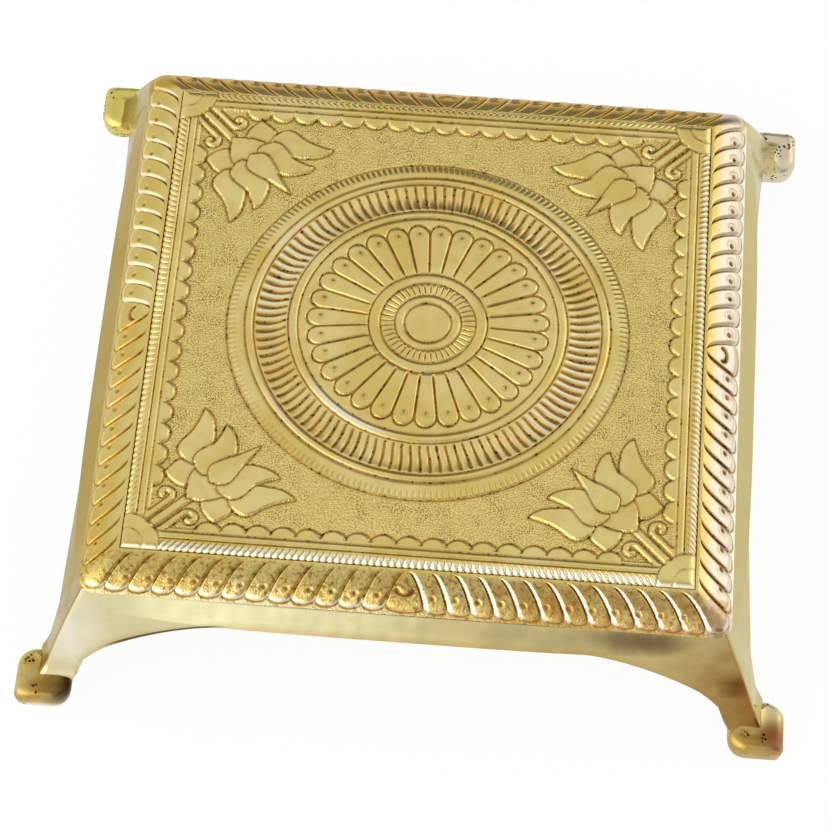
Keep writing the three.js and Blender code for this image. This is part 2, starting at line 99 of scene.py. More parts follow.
def within(value, low, rise, high, fall):
    """Share that is 1 between two values: a smooth step up from the low one over its rise, and
    one down to the high one over its fall."""
    return ease(value, low, low + rise) * ease(-value, -high, fall - high)


def off_middle(part):
    """Distance to the middle of a rib, from a number of ribs: 0 there and 1 at either edge."""
    return np.abs(part - np.floor(part) - 0.5) * 2


def grid_faces(grid, closed_rows=False, closed_columns=False, poles=False):
    """Faces between neighbours in a grid whose points are numbered row by row.
    A closed direction joins its last line to its first. With poles, the first row and the last
    one are a single point each."""
    rows, columns = grid.shape[:2]
    number = np.arange(rows * columns).reshape(rows, columns)
    if poles:
        number[0] = number[0, 0]
        number[-1] = number[-1, 0]
    if closed_rows:
        number = np.vstack([number, number[:1]])
    if closed_columns:
        number = np.hstack([number, number[:, :1]])
    corners = (number[:-1, :-1], number[:-1, 1:], number[1:, 1:], number[1:, :-1])
    return np.stack(corners, axis=-1).reshape(-1, 4)


def cast_body(name, places, faces, marks, material, crease=50):
    """Closed body in the scene, from a grid or row of points in mm and faces of four corners.
    Corners that repeat are dropped, and where the body's volume, a sum of triple products
    of face corners, comes out negative, all faces are turned over."""
    places = places.reshape(-1, 3)
    a, b, c, d = (places[faces[:, corner]] for corner in range(4))
    volume = np.sum(a * np.cross(b, c)) + np.sum(a * np.cross(c, d))
    if volume < 0:
        faces = faces[:, ::-1]
    kept = faces != np.roll(faces, -1, axis=1)
    kept &= (kept.sum(axis=1) >= 3)[:, None]
    used, corners = np.unique(faces[kept], return_inverse=True)
    sizes = kept.sum(axis=1)
    sizes = sizes[sizes > 0]
    mesh = bpy.data.meshes.new(name)
    mesh.vertices.add(len(used))
    mesh.vertices.foreach_set("co", (places[used] * MM).astype(np.float32).ravel())
    mesh.loops.add(len(corners))
    mesh.loops.foreach_set("vertex_index", corners.astype(np.int32).ravel())
    mesh.polygons.add(len(sizes))
    mesh.polygons.foreach_set("loop_start", (np.cumsum(sizes) - sizes).astype(np.int32))
    for mark, values in marks.items():
        layer = mesh.attributes.new(mark, "FLOAT", "POINT")
        layer.data.foreach_set("value", values.ravel()[used].astype(np.float32))
    mesh.update(calc_edges=True)
    mesh.shade_smooth()
    mesh.set_sharp_from_angle(angle=math.radians(crease))
    mesh.materials.append(material)
    body = bpy.data.objects.new(name, mesh)
    bpy.context.scene.collection.objects.link(body)
    return body


def on_side(along, out, height, quarter):
    """Points from places along a side, out from the centre and high, turned from the front side
    by a number of quarters."""
    turn_cos, turn_sin = ((1, 0), (0, 1), (-1, 0), (0, -1))[quarter]
    x = along * turn_cos + out * turn_sin
    y = along * turn_sin - out * turn_cos
    return np.stack([x, y, height], axis=-1)


def four_sides(along, out, height):
    """Square ring from its front side. A side leaves out its last column, which is the first
    of the next."""
    sides = [on_side(along, out, height, quarter)[:, :-1] for quarter in range(4)]
    return np.concatenate(sides, axis=1)


def repeated(values, shares=(1, 1, 1, 1)):
    """Values of the front side's grid for the four sides of a square ring, times a share each."""
    return np.concatenate([values[:, :-1] * share for share in shares], axis=1)


def linear(hex_colour):
    """Linear colour from an sRGB hex value, by the sRGB transfer curve."""
    srgb = np.array([int(hex_colour[i:i + 2], 16) for i in (1, 3, 5)]) / 255
    levels = np.where(srgb <= 0.04045, srgb / 12.92, ((srgb + 0.055) / 1.055) ** 2.4)
    return (*levels.tolist(), 1.0)


def add(material, kind, inputs, output=0, **settings):
    """Adds a shader node with its settings, gives each input a value, a link or a colour from
    its hex value, and hands on one of the node's outputs. Inputs go by name or number: in a
    Map Range 0 is the value, 1 and 2 its range, 3 and 4 the new one, and in a Mix 0 is the
    share, 6 and 7 are the colours."""
    made = material.node_tree.nodes.new("ShaderNode" + kind)
    for name, value in settings.items():
        setattr(made, name, value)
    for name, value in inputs.items():
        if isinstance(value, bpy.types.NodeSocket):
            material.node_tree.links.new(value, made.inputs[name])
        else:
            made.inputs[name].default_value = linear(value) if isinstance(value, str) else value
    return made.outputs[output] if len(made.outputs) else None


def empty_material(name):
    """Material with its nodes cleared, and the place on the object in millimetres."""
    material = bpy.data.materials.new(name)
    material.use_nodes = True
    material.node_tree.nodes.clear()
    place = add(material, "TexCoord", {}, "Object")
    return material, add(material, "VectorMath", {0: place, "Scale": 1 / MM}, operation="SCALE")


smooth = {"interpolation_type": "SMOOTHSTEP"}


def tinted(material, colour, tint, value, start, end, amount=1.0, where=None):
    """Colour with a tint over it. The tint's share rises to the amount by a smooth step as a
    value goes from its start to its end, and is multiplied by a share of where it lies."""
    share = add(material, "MapRange", {0: value, 1: start, 2: end, 4: amount}, **smooth)
    if where is not None:
        share = add(material, "Math", {0: share, 1: where}, operation="MULTIPLY")
    return add(material, "Mix", {0: share, 6: colour, 7: tint}, 2, data_type="RGBA")


def bare_metal(material, colour, rough, normal):
    """Ends a material as metal with the colour, roughness and relief that its nodes give."""
    shader = add(material, "BsdfPrincipled",
                 {"Base Color": colour, "Roughness": rough, "Metallic": 1.0, "Normal": normal})
    add(material, "OutputMaterial", {"Surface": shader})
    return material


def chased_brass():
    """Yellow brass, cast, chased with punches and rubbed bright. The high places are pale and
    smooth, brown tarnish with near-black specks has stayed in every hollow, and the matted
    ground is pricked with punch marks about 0.7 mm apart. The border's sides carry painted
    reflections: pale, nearly white, on the right, golden on the left and darker golden behind.
    In front it is rougher and browner, more so to the right. Beads, tips, the lobes' flanks
    and arcs of the rosette carry painted highlights, nearly white, and the lobes' other flanks
    painted shade in brown."""
    metal, place = empty_material("chased_brass")
    hollow, matted, painted_light = (add(metal, "Attribute", {}, "Fac", attribute_name=mark)
                              for mark in ("hollow", "matted", "painted_light"))
    # Noise by its size in mm and detail, and punch marks by their distance in mm
    cloud, streak, grain, speck = (
        add(metal, "TexNoise", {"Vector": place, "Scale": 1 / size, "Detail": detail})
        for size, detail in ((22, 3), (4, 3), (0.6, 2), (1.2, 1)))
    punch = add(metal, "TexVoronoi", {"Vector": place, "Scale": 1 / 0.65, "Randomness": 0.9},
                voronoi_dimensions="2D")
    x, y = (add(metal, "SeparateXYZ", {0: place}, axis) for axis in "XY")

    # Pits of the punch, where the ground is matted
    pit = add(metal, "MapRange", {0: punch, 1: 0.14, 2: 0.46, 3: 1, 4: 0}, **smooth)
    pit = add(metal, "Math", {0: pit, 1: matted}, operation="MULTIPLY")
    worn = add(metal, "MapRange", {0: streak, 1: 0.35, 2: 0.7, 3: 0.25, 4: 0.8}, **smooth)
    dark_pit = add(metal, "Math", {0: pit, 1: worn}, operation="MULTIPLY")
    deep = add(metal, "Math", {0: hollow, 1: dark_pit}, operation="MAXIMUM")

    # Pale rubbed faces, brown in all that lies deep, and specks in hollows and on the front
    pale = tinted(metal, "#E7D48C", "#DDC470", cloud, 0.35, 0.65)
    pale = tinted(metal, pale, "#D3B45F", streak, 0.45, 0.75, 0.35)
    ground = tinted(metal, "#DEC36C", "#F0DE92", grain, 0.3, 0.7)
    face = add(metal, "Mix", {0: matted, 6: pale, 7: ground}, 2, data_type="RGBA")
    brown = tinted(metal, "#B27C2C", "#80501E", streak, 0.3, 0.7)
    colour = tinted(metal, face, brown, deep, 0.12, 0.95, 0.92)
    start, end = border_front
    front = add(metal, "MapRange", {0: y, 1: start, 2: end, 4: 0.65}, **smooth)
    low = add(metal, "MapRange", {0: hollow, 1: 0.25, 2: 0.7}, **smooth)
    low = add(metal, "Math", {0: low, 1: front}, operation="MAXIMUM")
    colour = tinted(metal, colour, "#2B1706", speck, 0.6, 0.68, 0.9, low)

    # The border: painted reflections on the left, back and right, then painted shade on flanks
    # turned from the light, dark ring middles, and the browner front
    colour = tinted(metal, colour, "#CFAE48", x, *border_left, 0.42)
    colour = tinted(metal, colour, "#C19A38", y, *border_back, 0.88)
    # Painted reflection on the right side, pale to nearly white, outside the hollows
    clear = add(metal, "MapRange", {0: deep, 1: 0.2, 2: 0.7, 3: 1, 4: 0}, **smooth)
    colour = tinted(metal, colour, "#D3CABD", x, *border_right, 0.8, clear)
    # Painted shade in brown on the lobes' flanks that face away from the light
    colour = tinted(metal, colour, "#9C6B33", painted_light, 0.1, -1, 0.8)
    colour = tinted(metal, colour, "#45301C", hollow, 0.95, 1, 0.75)
    # The front's right part browner, in patches
    patch = add(metal, "MapRange", {0: x, 1: -20, 2: 40, 3: 0.12}, **smooth)
    patch = add(metal, "Math", {0: patch, 1: front}, operation="MULTIPLY")
    patchy = add(metal, "MapRange", {0: streak, 1: 0.35, 2: 0.6, 3: 0.3, 4: 1}, **smooth)
    patch = add(metal, "Math", {0: patch, 1: patchy}, operation="MULTIPLY")
    colour = add(metal, "Mix", {0: patch, 6: colour, 7: "#B5803C"}, 2, data_type="RGBA")
    colour = tinted(metal, colour, "#A87C2E", speck, 0.45, 0.58, 0.5, front)
    # Painted highlights on beads, tips, flanks and arcs of the rosette: nearly white, golden behind
    highlight_tint = tinted(metal, "#F5EFDA", "#E9CE70", y, *border_back, 0.88)
    colour = tinted(metal, colour, highlight_tint, painted_light, 0.1, 1, 0.85)

    rough = add(metal, "MapRange", {0: deep, 3: 0.2, 4: 0.48})
    rough = add(metal, "Math", {0: matted, 1: 0.1, 2: rough}, operation="MULTIPLY_ADD")
    rough = add(metal, "Math", {0: streak, 1: 0.08, 2: rough}, operation="MULTIPLY_ADD")
    coarse = add(metal, "Math", {0: matted, 1: front}, operation="ADD")
    coarse = add(metal, "MapRange", {0: coarse, 3: 0.3, 4: 1.3})
    fine = add(metal, "Math", {0: grain, 1: coarse}, operation="MULTIPLY")
    height = add(metal, "Math", {0: fine, 1: pit}, operation="SUBTRACT")
    normal = add(metal, "Bump", {"Strength": 0.6, "Distance": 0.17 * MM, "Height": height})
    return bare_metal(metal, colour, rough, normal)


chased = chased_brass()


def frame_marks(x, y):
    """Relief over the flat panel that crosses from the plate into the field: the two sunk lines
    of the frame, and in each corner a quarter disc with a ring line and a smaller arc.
    Lines are bell-shaped hollows about a square's or a circle's edge."""
    far = np.maximum(np.abs(x), np.abs(y))
    from_corner = np.hypot(corner_disc_half - np.abs(x), corner_disc_half - np.abs(y))
    outside = ease(from_corner, corner_disc_radius - 0.2, corner_disc_radius + 0.2)
    outer_line = bump(far - frame_line_half, frame_line_width)
    inner_line = bump(far - frame_line_half + frame_line_gap, frame_line_width)
    rings = bump(from_corner - corner_ring_radius, frame_line_width)
    arc = 0.7 * bump(from_corner - corner_arc_radius, frame_line_width)
    hollow = np.maximum(np.maximum(outer_line, inner_line) * outside, np.maximum(rings, arc))
    crown = frame_crown * bump(far - frame_line_half + frame_line_gap / 2, 0.6) * outside
    return crown - frame_line_depth * hollow, line_tarnish * hollow


def panel_plate():
    """Square ring for the milled edge, closed by a flat bed above and a flat bottom below.
    The edge is a quarter of an ellipse. Each rib of the milling is half a circle across, so
    that its sides fall away steeply, and slants by a share of its own width on its way down."""
    share = np.linspace(-1, 1, milling_count * 8 + 1)
    turn = np.linspace(0, math.pi / 2, 9)
    half = np.concatenate([
        [0, frame_line_half], np.linspace(frame_line_half, panel_half - edge_round, 5),
        panel_half - edge_round * (1 - np.sin(turn[1:])),
        [panel_half, panel_half - bottom_bevel, 0],
    ])
    drop = np.concatenate([
        [bed_depth] * 2, np.zeros(5), edge_wall * (1 - np.cos(turn[1:])),
        [plate_height - bottom_bevel, plate_height, plate_height],
    ])
    share, out = np.meshgrid(share, half)
    along = share * out
    drop = np.repeat(drop[:, None], share.shape[1], axis=1)
    seen = np.zeros_like(share)
    seen[2:-3] = 1
    sink, hollow = frame_marks(along, out)
    edge = ease(out, panel_half - edge_round + 0.2, panel_half - edge_round + 0.6) * seen
    milled = ease(-np.abs(along), -milling_end_half - 0.5, -milling_end_half + 0.5)
    aside = off_middle(milling_count * (share + 1) / 2 + milling_slant * drop / edge_wall)
    cut = edge * milled * (1 - np.sqrt(1 - aside ** 2))
    height = panel_top - drop + sink * seen - milling_relief * cut * 0.8
    out = out - milling_relief * cut * 0.5
    hollow = np.maximum(hollow * seen, 0.5 * cut)
    hollow = np.maximum(hollow, ease(drop, 1.5, 1.7) * 0.15)
    places = four_sides(along, out, height)
    faces = grid_faces(places, closed_columns=True, poles=True)
    # Painted highlight on the tops of the ribs, with a share for each edge
    bead_highlight = edge * (1 - cut) * within(drop, 0, 1.1 - milled, 1.65, 0.3)
    marks = {"hollow": repeated(hollow), "matted": repeated(hollow * 0),
             "painted_light": repeated(bead_highlight, bead_highlight_shares)}
    return cast_body("panel_plate", places, faces, marks, chased)


plate = panel_plate()
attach(plate, "root")
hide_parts("top_panel")

# Panel field
# The sunk ground between frame and rosette, matted all over with a punch, with a row of
# scallops along the frame and a lotus spray chased in each corner. It is one with the plate.
field_half = frame_line_half - frame_line_gap - 0.9
field_depth = 0.7
scallop_pitch = 6.5
scallop_depth = 3.1
scallop_last = 8
rosette_radius = 53.6
spray_reach = 44
petal_bevel = 0.42
petal_line = 0.26
fine_grid_start = 29
room_radius = rosette_radius - 0.6

# Edges of one spray's leaves and petals, as places along the diagonal from the corner of the
# frame line and across it
low_leaf = ((17.6, 0), (19.2, 2.3), (21, 3.7), (22.8, 4.8), (24.5, 5.5), (26, 5.8), (29, 3),
            (30, 0))
side_leaf = (
    ((19.6, 3), (18.3, 5.3), (18, 7.8), (18.2, 10.2)),
    ((18.2, 10.2), (20.3, 10.5), (22.7, 10.8), (24.2, 10.5), (25.5, 9), (26, 7), (25, 4),
     (19.6, 3)),
)
outer_petal = (
    ((25.5, 7.2), (24.5, 9.5), (24.6, 11.6), (25.1, 13.1), (26.2, 14.2), (28, 14.8), (30, 14.9),
     (32.3, 15.4), (34.4, 16.2), (36.8, 17.4), (38.8, 18.5)),
    ((38.8, 18.5), (39, 16.8), (38.4, 14.3), (36.8, 12), (35, 9.8), (33.6, 8.3), (30, 7),
     (25.5, 7.2)),
)
inner_petal = (
    ((25.3, 2.8), (25, 5), (25.7, 7.5), (27.6, 8.8), (29.7, 8.9), (31.8, 8.6), (33.8, 8.4),
     (35.9, 9), (37.9, 9.8), (39.9, 10.8)),
    ((39.9, 10.8), (40.2, 8.9), (39.4, 6.6), (37.8, 3.9), (36.2, 2.3), (34.5, 1.4), (28, 1),
     (25.3, 2.8)),
)
middle_petal = ((25.3, 0), (26.2, 1.8), (27, 2.8), (28.5, 3.5), (30, 3.4), (32.5, 2.7), (35, 1.9),
                (38, 1.1), (42.5, 0))


def curved(points):
    """Smooth line from a chain of points by two rounds of corner cutting: each corner gives way
    to the points a quarter of the way before and after it, and the two ends stay."""
    line = np.array(points, dtype=float)
    for _ in range(2):
        before, after = line[:-1], line[1:]
        cut = np.stack([0.75 * before + 0.25 * after, 0.25 * before + 0.75 * after], axis=1)
        line = np.concatenate([line[:1], cut.reshape(-1, 2), line[-1:]])
    return line


def off_line(reach, across, line):
    """Distance to a line of points: the smallest of the distances to its straight parts."""
    best = np.full(reach.shape, 1e6)
    for start, end in zip(line[:-1], line[1:]):
        way = end - start
        share = ((reach - start[0]) * way[0] + (across - start[1]) * way[1]) / max(way @ way, 1e-9)
        near = start + np.clip(share, 0, 1)[..., None] * way
        best = np.minimum(best, (reach - near[..., 0]) ** 2 + (across - near[..., 1]) ** 2)
    return np.sqrt(best)


def inside(reach, across, outline):
    """Distance to a closed outline, positive inside it. A point is inside where a line from it
    along the reach crosses the outline an odd number of times."""
    crossed = np.zeros(reach.shape, bool)
    for start, end in zip(outline[:-1], outline[1:]):
        if start[1] != end[1]:
            place = start[0] + (across - start[1]) * (end[0] - start[0]) / (end[1] - start[1])
            crossed ^= ((start[1] > across) != (end[1] > across)) & (reach < place)
    return np.where(crossed, 1, -1) * off_line(reach, across, outline)


def spray(reach, across):
    """Depths inside the shapes of a lotus spray from the lowest to the highest, with the level
    of each over the flat. The stem and the tendrils are bands of an even width, and the leaves
    and petals are closed outlines, of which the two on the diagonal are mirrored in it."""
    yield 1.15 - off_line(reach, across, np.array([(6, 0), (20, 0)])), -0.08
    turn = np.radians(np.linspace(-90, 170, 24))
    radius = np.linspace(2.15, 0.75, 24)
    curl = np.stack([14.3 + radius * np.cos(turn), 4.95 + radius * np.sin(turn)], axis=-1)
    yield 0.82 - off_line(reach, across, np.concatenate([[(6, 2.8)], curl])), -0.12
    for edges, level in ((side_leaf, -0.12), (low_leaf, -0.1), (outer_petal, -0.06),
                         (inner_petal, -0.03), (middle_petal, 0.0)):
        if len(edges) == 2:
            outline = np.concatenate([curved(edge) for edge in edges])
        else:
            edge = curved(edges)
            outline = np.concatenate([edge, edge[::-1] * (1, -1)])
        yield inside(reach, across, outline), level


def field_relief(x, y):
    """Height over the flat panel of the field at a point, with how hollow and how matted it is.
    Shapes are laid one over another: each sinks a narrow line round itself, spreads a bell of
    tarnish over the ground, and lifts its inside to its level by a smooth step over its bevel."""
    wide, tall = np.abs(x), np.abs(y)
    far, near = np.maximum(wide, tall), np.minimum(wide, tall)
    sunk = ease(field_half - far, -0.2, 0.35)
    height = -sunk * field_depth
    hollow = sunk * (0.16 + 0.3 * bump(field_half - far, 1))
    matted = sunk.copy()

    def lay(depth, level, bevel, width, sink, halo, where=1):
        nonlocal height, hollow, matted
        line = bump(depth + 0.8 * width, width) * where
        height = height - sink * line
        hollow = np.maximum(hollow, np.maximum(0.95 * line, halo * bump(np.minimum(depth, 0), 1.3)))
        share = ease(depth, 0, bevel)
        height = height * (1 - share) + level * share
        hollow = hollow * (1 - ease(depth, -0.1, bevel * 0.8))
        matted = matted * (1 - share)

    place = np.clip(np.round(near / scallop_pitch), 0, scallop_last)
    radius = np.hypot((near - place * scallop_pitch) / (scallop_pitch / 2),
                      (field_half + 0.3 - far) / scallop_depth)
    lay((1 - radius) * scallop_depth, level=-0.05, bevel=0.5, width=0.3, sink=0.25,
        halo=0.4 * sunk, where=sunk)
    reach = ((frame_line_half - wide) + (frame_line_half - tall)) / math.sqrt(2)
    across = np.abs(wide - tall) / math.sqrt(2)
    corner = (reach < spray_reach) & (across < 20) & (far < field_half + 0.5)
    whole = height, hollow, matted
    height, hollow, matted = (values[corner] for values in whole)
    for depth, level in spray(reach[corner], across[corner]):
        lay(depth, level, petal_bevel, petal_line, sink=0.3, halo=0.45)
    for values, changed in zip(whole, (height, hollow, matted)):
        values[corner] = changed
    height, hollow, matted = whole

    from_corner = np.hypot(corner_disc_half - wide, corner_disc_half - tall)
    disc = ease(corner_disc_radius - from_corner, 0, 0.5)
    sink, lines = frame_marks(x, y)
    in_field = sunk * (1 - disc)
    height = height * (1 - disc) + sink * (1 - in_field) - 0.3 * in_field * lines
    hollow = np.maximum(hollow * (1 - disc), lines)
    matted = matted * (1 - disc)
    moat = bump(np.hypot(x, y) - rosette_radius - 0.5, 0.4)
    return height - 0.2 * moat, np.maximum(hollow, 0.8 * moat), matted


def field_lines():
    """Places of the grid lines from edge to edge: fine steps where the corners' sprays, the
    scallops and the frame lie, coarser ones between them."""
    fine = np.linspace(fine_grid_start, frame_line_half, 129)
    coarse = np.linspace(0, fine_grid_start, 62)[:-1]
    half = np.concatenate([coarse, fine])
    return np.concatenate([-half[:0:-1], half])


def panel_field():
    """Grid of relief over the field, without the round room of the rosette. The grid's open
    edges go down as walls and close on a floor fan, and the room has a fan of its own."""
    lines = field_lines()
    x, y = np.meshgrid(lines, lines)
    height, hollow, matted = field_relief(x, y)
    faces = grid_faces(x)
    places = np.stack([x, y, panel_top + height], axis=-1).reshape(-1, 3)
    middle = places[faces].mean(axis=1)
    faces = faces[np.hypot(middle[:, 0], middle[:, 1]) > room_radius]
    sides = np.stack([faces, np.roll(faces, -1, axis=1)], axis=-1).reshape(-1, 2)
    key = np.sort(sides, axis=1)
    _, first, count = np.unique(key[:, 0] * len(places) + key[:, 1],
                                return_index=True, return_counts=True)
    rim = sides[first[count == 1]]
    floor_number = len(places)
    below = places.copy()
    below[:, 2] = panel_bed
    centre = np.array([[0, 0, panel_bed], [0, 0, panel_bed + 0.1]])
    inner = np.hypot(places[rim[:, 0], 0], places[rim[:, 0], 1]) < rosette_radius + 1
    below_inner = below.copy()
    below_inner[:, 2] += 0.1
    start, end = rim[:, 0], rim[:, 1]
    low_start = np.where(inner, start + 2 * floor_number, start + floor_number)
    low_end = np.where(inner, end + 2 * floor_number, end + floor_number)
    hub = np.where(inner, 3 * floor_number + 1, 3 * floor_number)
    walls = np.stack([end, start, low_start, low_end], axis=-1)
    fans = np.stack([low_end, low_start, hub, hub], axis=-1)
    places = np.concatenate([places, below, below_inner, centre])
    none = np.zeros(2 * floor_number + 2)
    marks = {
        "hollow": np.concatenate([np.clip(hollow, 0, 1).ravel(), none]),
        "matted": np.concatenate([np.clip(matted, 0, 1).ravel(), none]),
    }
    faces = np.concatenate([faces, walls, fans])
    return cast_body("panel_field", places, faces, marks, chased, crease=70)


field = panel_field()
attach(field, "root")
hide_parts("top_panel")

# Rosette
# The domed disc in the middle of the panel, cast in one with it, turned and then chased with
# plain and fluted rings, a wreath of petals, a hollow channel and a finely milled outer ring.
rosette_turns = 1060
dome_rise = 1.96
petal_count = 31
flute_count = 106
small_flute_count = 44
tick_count = 212
ring_lines = (6.3, 8.9, 12.8, 16.0, 34.9, 37.5, 46.8, 49.2)
ring_line_width = 0.34
ring_line_depth = 0.4
# Rounded rings: radius, width and rise
ring_crowns = ((7.6, 0.9, 0.16), (14.4, 1.1, 0.14), (36.2, 0.9, 0.22), (48, 0.8, 0.25))
# Painted highlight arcs on rings: radius, width, share, and middle and half angle in degrees
highlight_arcs = ((36.2, 1.0, 1, 236, 24), (48, 0.8, 0.6, 150, 26), (48, 0.8, 0.6, 222, 20))
petal_start = 16.4
petal_end = 33.8
petal_round_radius = 29.7
petal_line_width = 0.32
petal_line_depth = 0.5
petal_rise = 0.08
dot_radius = 29.0
dot_width = 0.5
dot_rise = 0.3
channel_start = 37.5
channel_end = 46.8
channel_depth = 0.9
flute_depth = 0.4
flute_curl = 0.35
small_flutes_start = 9.1
small_flutes_end = 12.6
small_flute_depth = 0.3
ticks_start = 51.2
tick_depth = 0.26


def on_arc(turn, middle, width):
    """Share along an arc: a bell curve of the angle to its middle, both in degrees."""
    return bump((np.degrees(turn) - middle + 180) % 360 - 180, width)


def rosette_relief(radius, turn):
    """Height of the rosette over its own smooth dome, how hollow it is and its painted highlights.
    Rings are bell-shaped hollows about a radius. Petals and flutes repeat round the middle:
    their relief depends on the distance to the nearest dividing line. Bands, flutes and the
    milled ring carry painted highlights, white, along a few arcs."""
    sink = np.zeros_like(radius)
    hollow = np.zeros_like(radius)
    for line in ring_lines:
        ring = bump(radius - line, ring_line_width)
        sink = np.maximum(sink, ring_line_depth * ring)
        hollow = np.maximum(hollow, 0.95 * ring)
    crowns = sum(rise * bump(radius - middle, width) for middle, width, rise in ring_crowns)

    part = turn * petal_count / (2 * math.pi)
    aside = (part - np.floor(part) - 0.5) * 2 * math.pi / petal_count * radius
    half = radius * math.pi / petal_count
    round_half = petal_round_radius * math.pi / petal_count - 0.1
    depth = np.where(radius < petal_round_radius, half - np.abs(aside),
                     round_half - np.hypot(radius - petal_round_radius, aside))
    wreath = within(radius, petal_start, 0.8, petal_end, 0.6)
    outline = bump(depth, petal_line_width) * wreath
    sink = np.maximum(sink, petal_line_depth * outline)
    crowns = crowns + petal_rise * wreath * ease(depth, 0, 1)
    dot = np.hypot(radius - dot_radius, aside)
    crowns = crowns + dot_rise * bump(dot, dot_width)
    brown = 0.4 * bump(dot - 0.95, 0.25) + 0.9 * bump(dot, dot_width)
    hollow = np.maximum(hollow, np.maximum(0.95 * outline, brown))

    in_channel = within(radius, channel_start + 0.1, 1, channel_end - 0.1, 0.8)
    across = np.clip((radius - channel_start) / (channel_end - channel_start), 0, 1)
    aside = off_middle(turn * flute_count / (2 * math.pi) + flute_curl * (1 - across) ** 2)
    groove = ease(aside, 0.4, 0.85)
    sink = sink + np.sin(math.pi * across) * (channel_depth + flute_depth * groove)
    hollow = np.maximum(hollow, in_channel * (0.11 + 0.8 * ease(aside, 0.45, 0.85)))

    # Painted highlights on the flutes' ribs along two opposite arcs
    flute_highlight = on_arc(turn, -22, 34) + 0.9 * on_arc(turn, 158, 34)
    painted_light = in_channel * (1 - ease(aside, 0.15, 0.5)) * flute_highlight
    for middle, width, share, facing, spread in highlight_arcs:
        painted_light = painted_light + share * bump(radius - middle, width) * on_arc(turn, facing, spread)

    in_small = within(radius, small_flutes_start, 0.6, small_flutes_end, 0.5)
    aside = off_middle(turn * small_flute_count / (2 * math.pi))
    sink = sink + in_small * small_flute_depth * ease(aside, 0.5, 1)
    hollow = np.maximum(hollow, in_small * 0.8 * ease(aside, 0.6, 1))

    on_ticks = ease(radius, ticks_start, ticks_start + 0.7)
    wave = (1 + np.cos(turn * tick_count)) / 2
    sink = sink + on_ticks * tick_depth * wave
    sink = sink + 0.4 * ease(radius, ticks_start + 0.6, rosette_radius)
    hollow = np.maximum(hollow, on_ticks * 0.45 * wave)
    # Painted highlight on the milled ring's beads along one arc
    painted_light = painted_light + 0.45 * on_ticks * (1 - wave) * on_arc(turn, -25, 40)
    return crowns - sink, hollow, painted_light


def rosette():
    """Polar grid: rings of points at chosen radii, closed by an outer wall and a flat bottom.
    The dome under the relief falls with the square of the radius."""
    radii = np.concatenate([
        [0], np.linspace(2, 5.4, 3), np.linspace(5.8, 9.4, 11), np.linspace(9.8, 12.2, 4),
        np.linspace(12.5, 16.4, 10), np.linspace(17.2, 27.6, 9), np.linspace(28.1, 35.4, 19),
        np.linspace(35.8, 38.4, 7), np.linspace(39, 45.6, 7), np.linspace(46, 49.8, 11),
        np.linspace(50.6, rosette_radius, 8),
    ])
    turn = np.arange(rosette_turns) * 2 * math.pi / rosette_turns
    angle, radius = np.meshgrid(turn, radii)
    relief, hollow, painted_light = rosette_relief(radius, angle)
    height = panel_top + dome_rise * (1 - (radius / rosette_radius) ** 2) + relief * (radius > 0)
    wall = np.full((1, rosette_turns), rosette_radius + 0.1)
    low = np.full((1, rosette_turns), panel_bed + 0.2)
    radius = np.concatenate([radius, wall, wall, wall * 0])
    height = np.concatenate([height, low + 0.6, low, low])
    angle = np.concatenate([angle, angle[:3]])
    hollow = np.concatenate([hollow, hollow[-1:] * 0 + 0.7, hollow[:2] * 0])
    painted_light = np.concatenate([painted_light, painted_light[:3] * 0])
    places = np.stack([radius * np.cos(angle), radius * np.sin(angle), height], axis=-1)
    faces = grid_faces(places, closed_columns=True, poles=True)
    marks = {"hollow": np.clip(hollow, 0, 1), "matted": hollow * 0, "painted_light": painted_light}
    return cast_body("panel_rosette", places, faces, marks, chased)


wheel = rosette()
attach(wheel, "root")
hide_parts("top_panel")

# Border frame
# The sloping frame round the panel, one brass casting with a ledge that carries the plate. Its
# face is chased into leaning S-shaped lobes, each with a punched ring and a rolled round tip.
rim_low, rim_high = (np.array(corner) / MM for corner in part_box("gadroon_rim"))
rim_half = rim_high[0]
rim_seat = rim_low[2]
rim_crest = panel_top - 1.35
rim_inner = panel_half + 0.05
slope_start = rim_inner + 0.7
lip_half = rim_half - 0.35
rim_lip = 0.85
rim_bulge = 0.6
rim_corner = 5
slope_length = 12.3
lobe_relief = 0.75
lobe_count = 13
lobe_top_pitch = 5.8
lobe_tip_pitch = 6.08
first_tip = 5.5
lean_power = 0.6
cusp_place = 9.8
tip_place = 11.5
steep_roll = 0.3
gentle_roll = 1.25
tip_roll = 1.8
first_ring = 7.1
ring_pitch = 5.88
ring_place = 7.6
ring_radius = 1.0
seam = 0.3
ledge_top = panel_low[2] - seam
ledge_bottom = ledge_top - 2.6
ledge_inner = panel_half - 11.7
seat_inner = panel_half - 2.2
lobe_slant = 0.86
groove_width = 0.28
flank_place = 0.65
flank_width = 0.45
ring_rise = 0.2
ring_width = 0.32
hole_depth = 0.55
hole_width = 0.62
leaf_arc_place = 5.4
leaf_arc_radius = 2.1
lip_round = 0.3
lip_foot = 1.05
# Shares of the relief that go outwards and upwards, along the normal of the slope
relief_out = 0.42
relief_up = 0.9
# Places across a lobe, closer together at its valleys
across_lobe = np.array([0, 0.03, 0.07, 0.12, 0.19, 0.27, 0.35, 0.43,
                        0.5, 0.57, 0.65, 0.73, 0.82, 0.9, 0.95, 0.975])
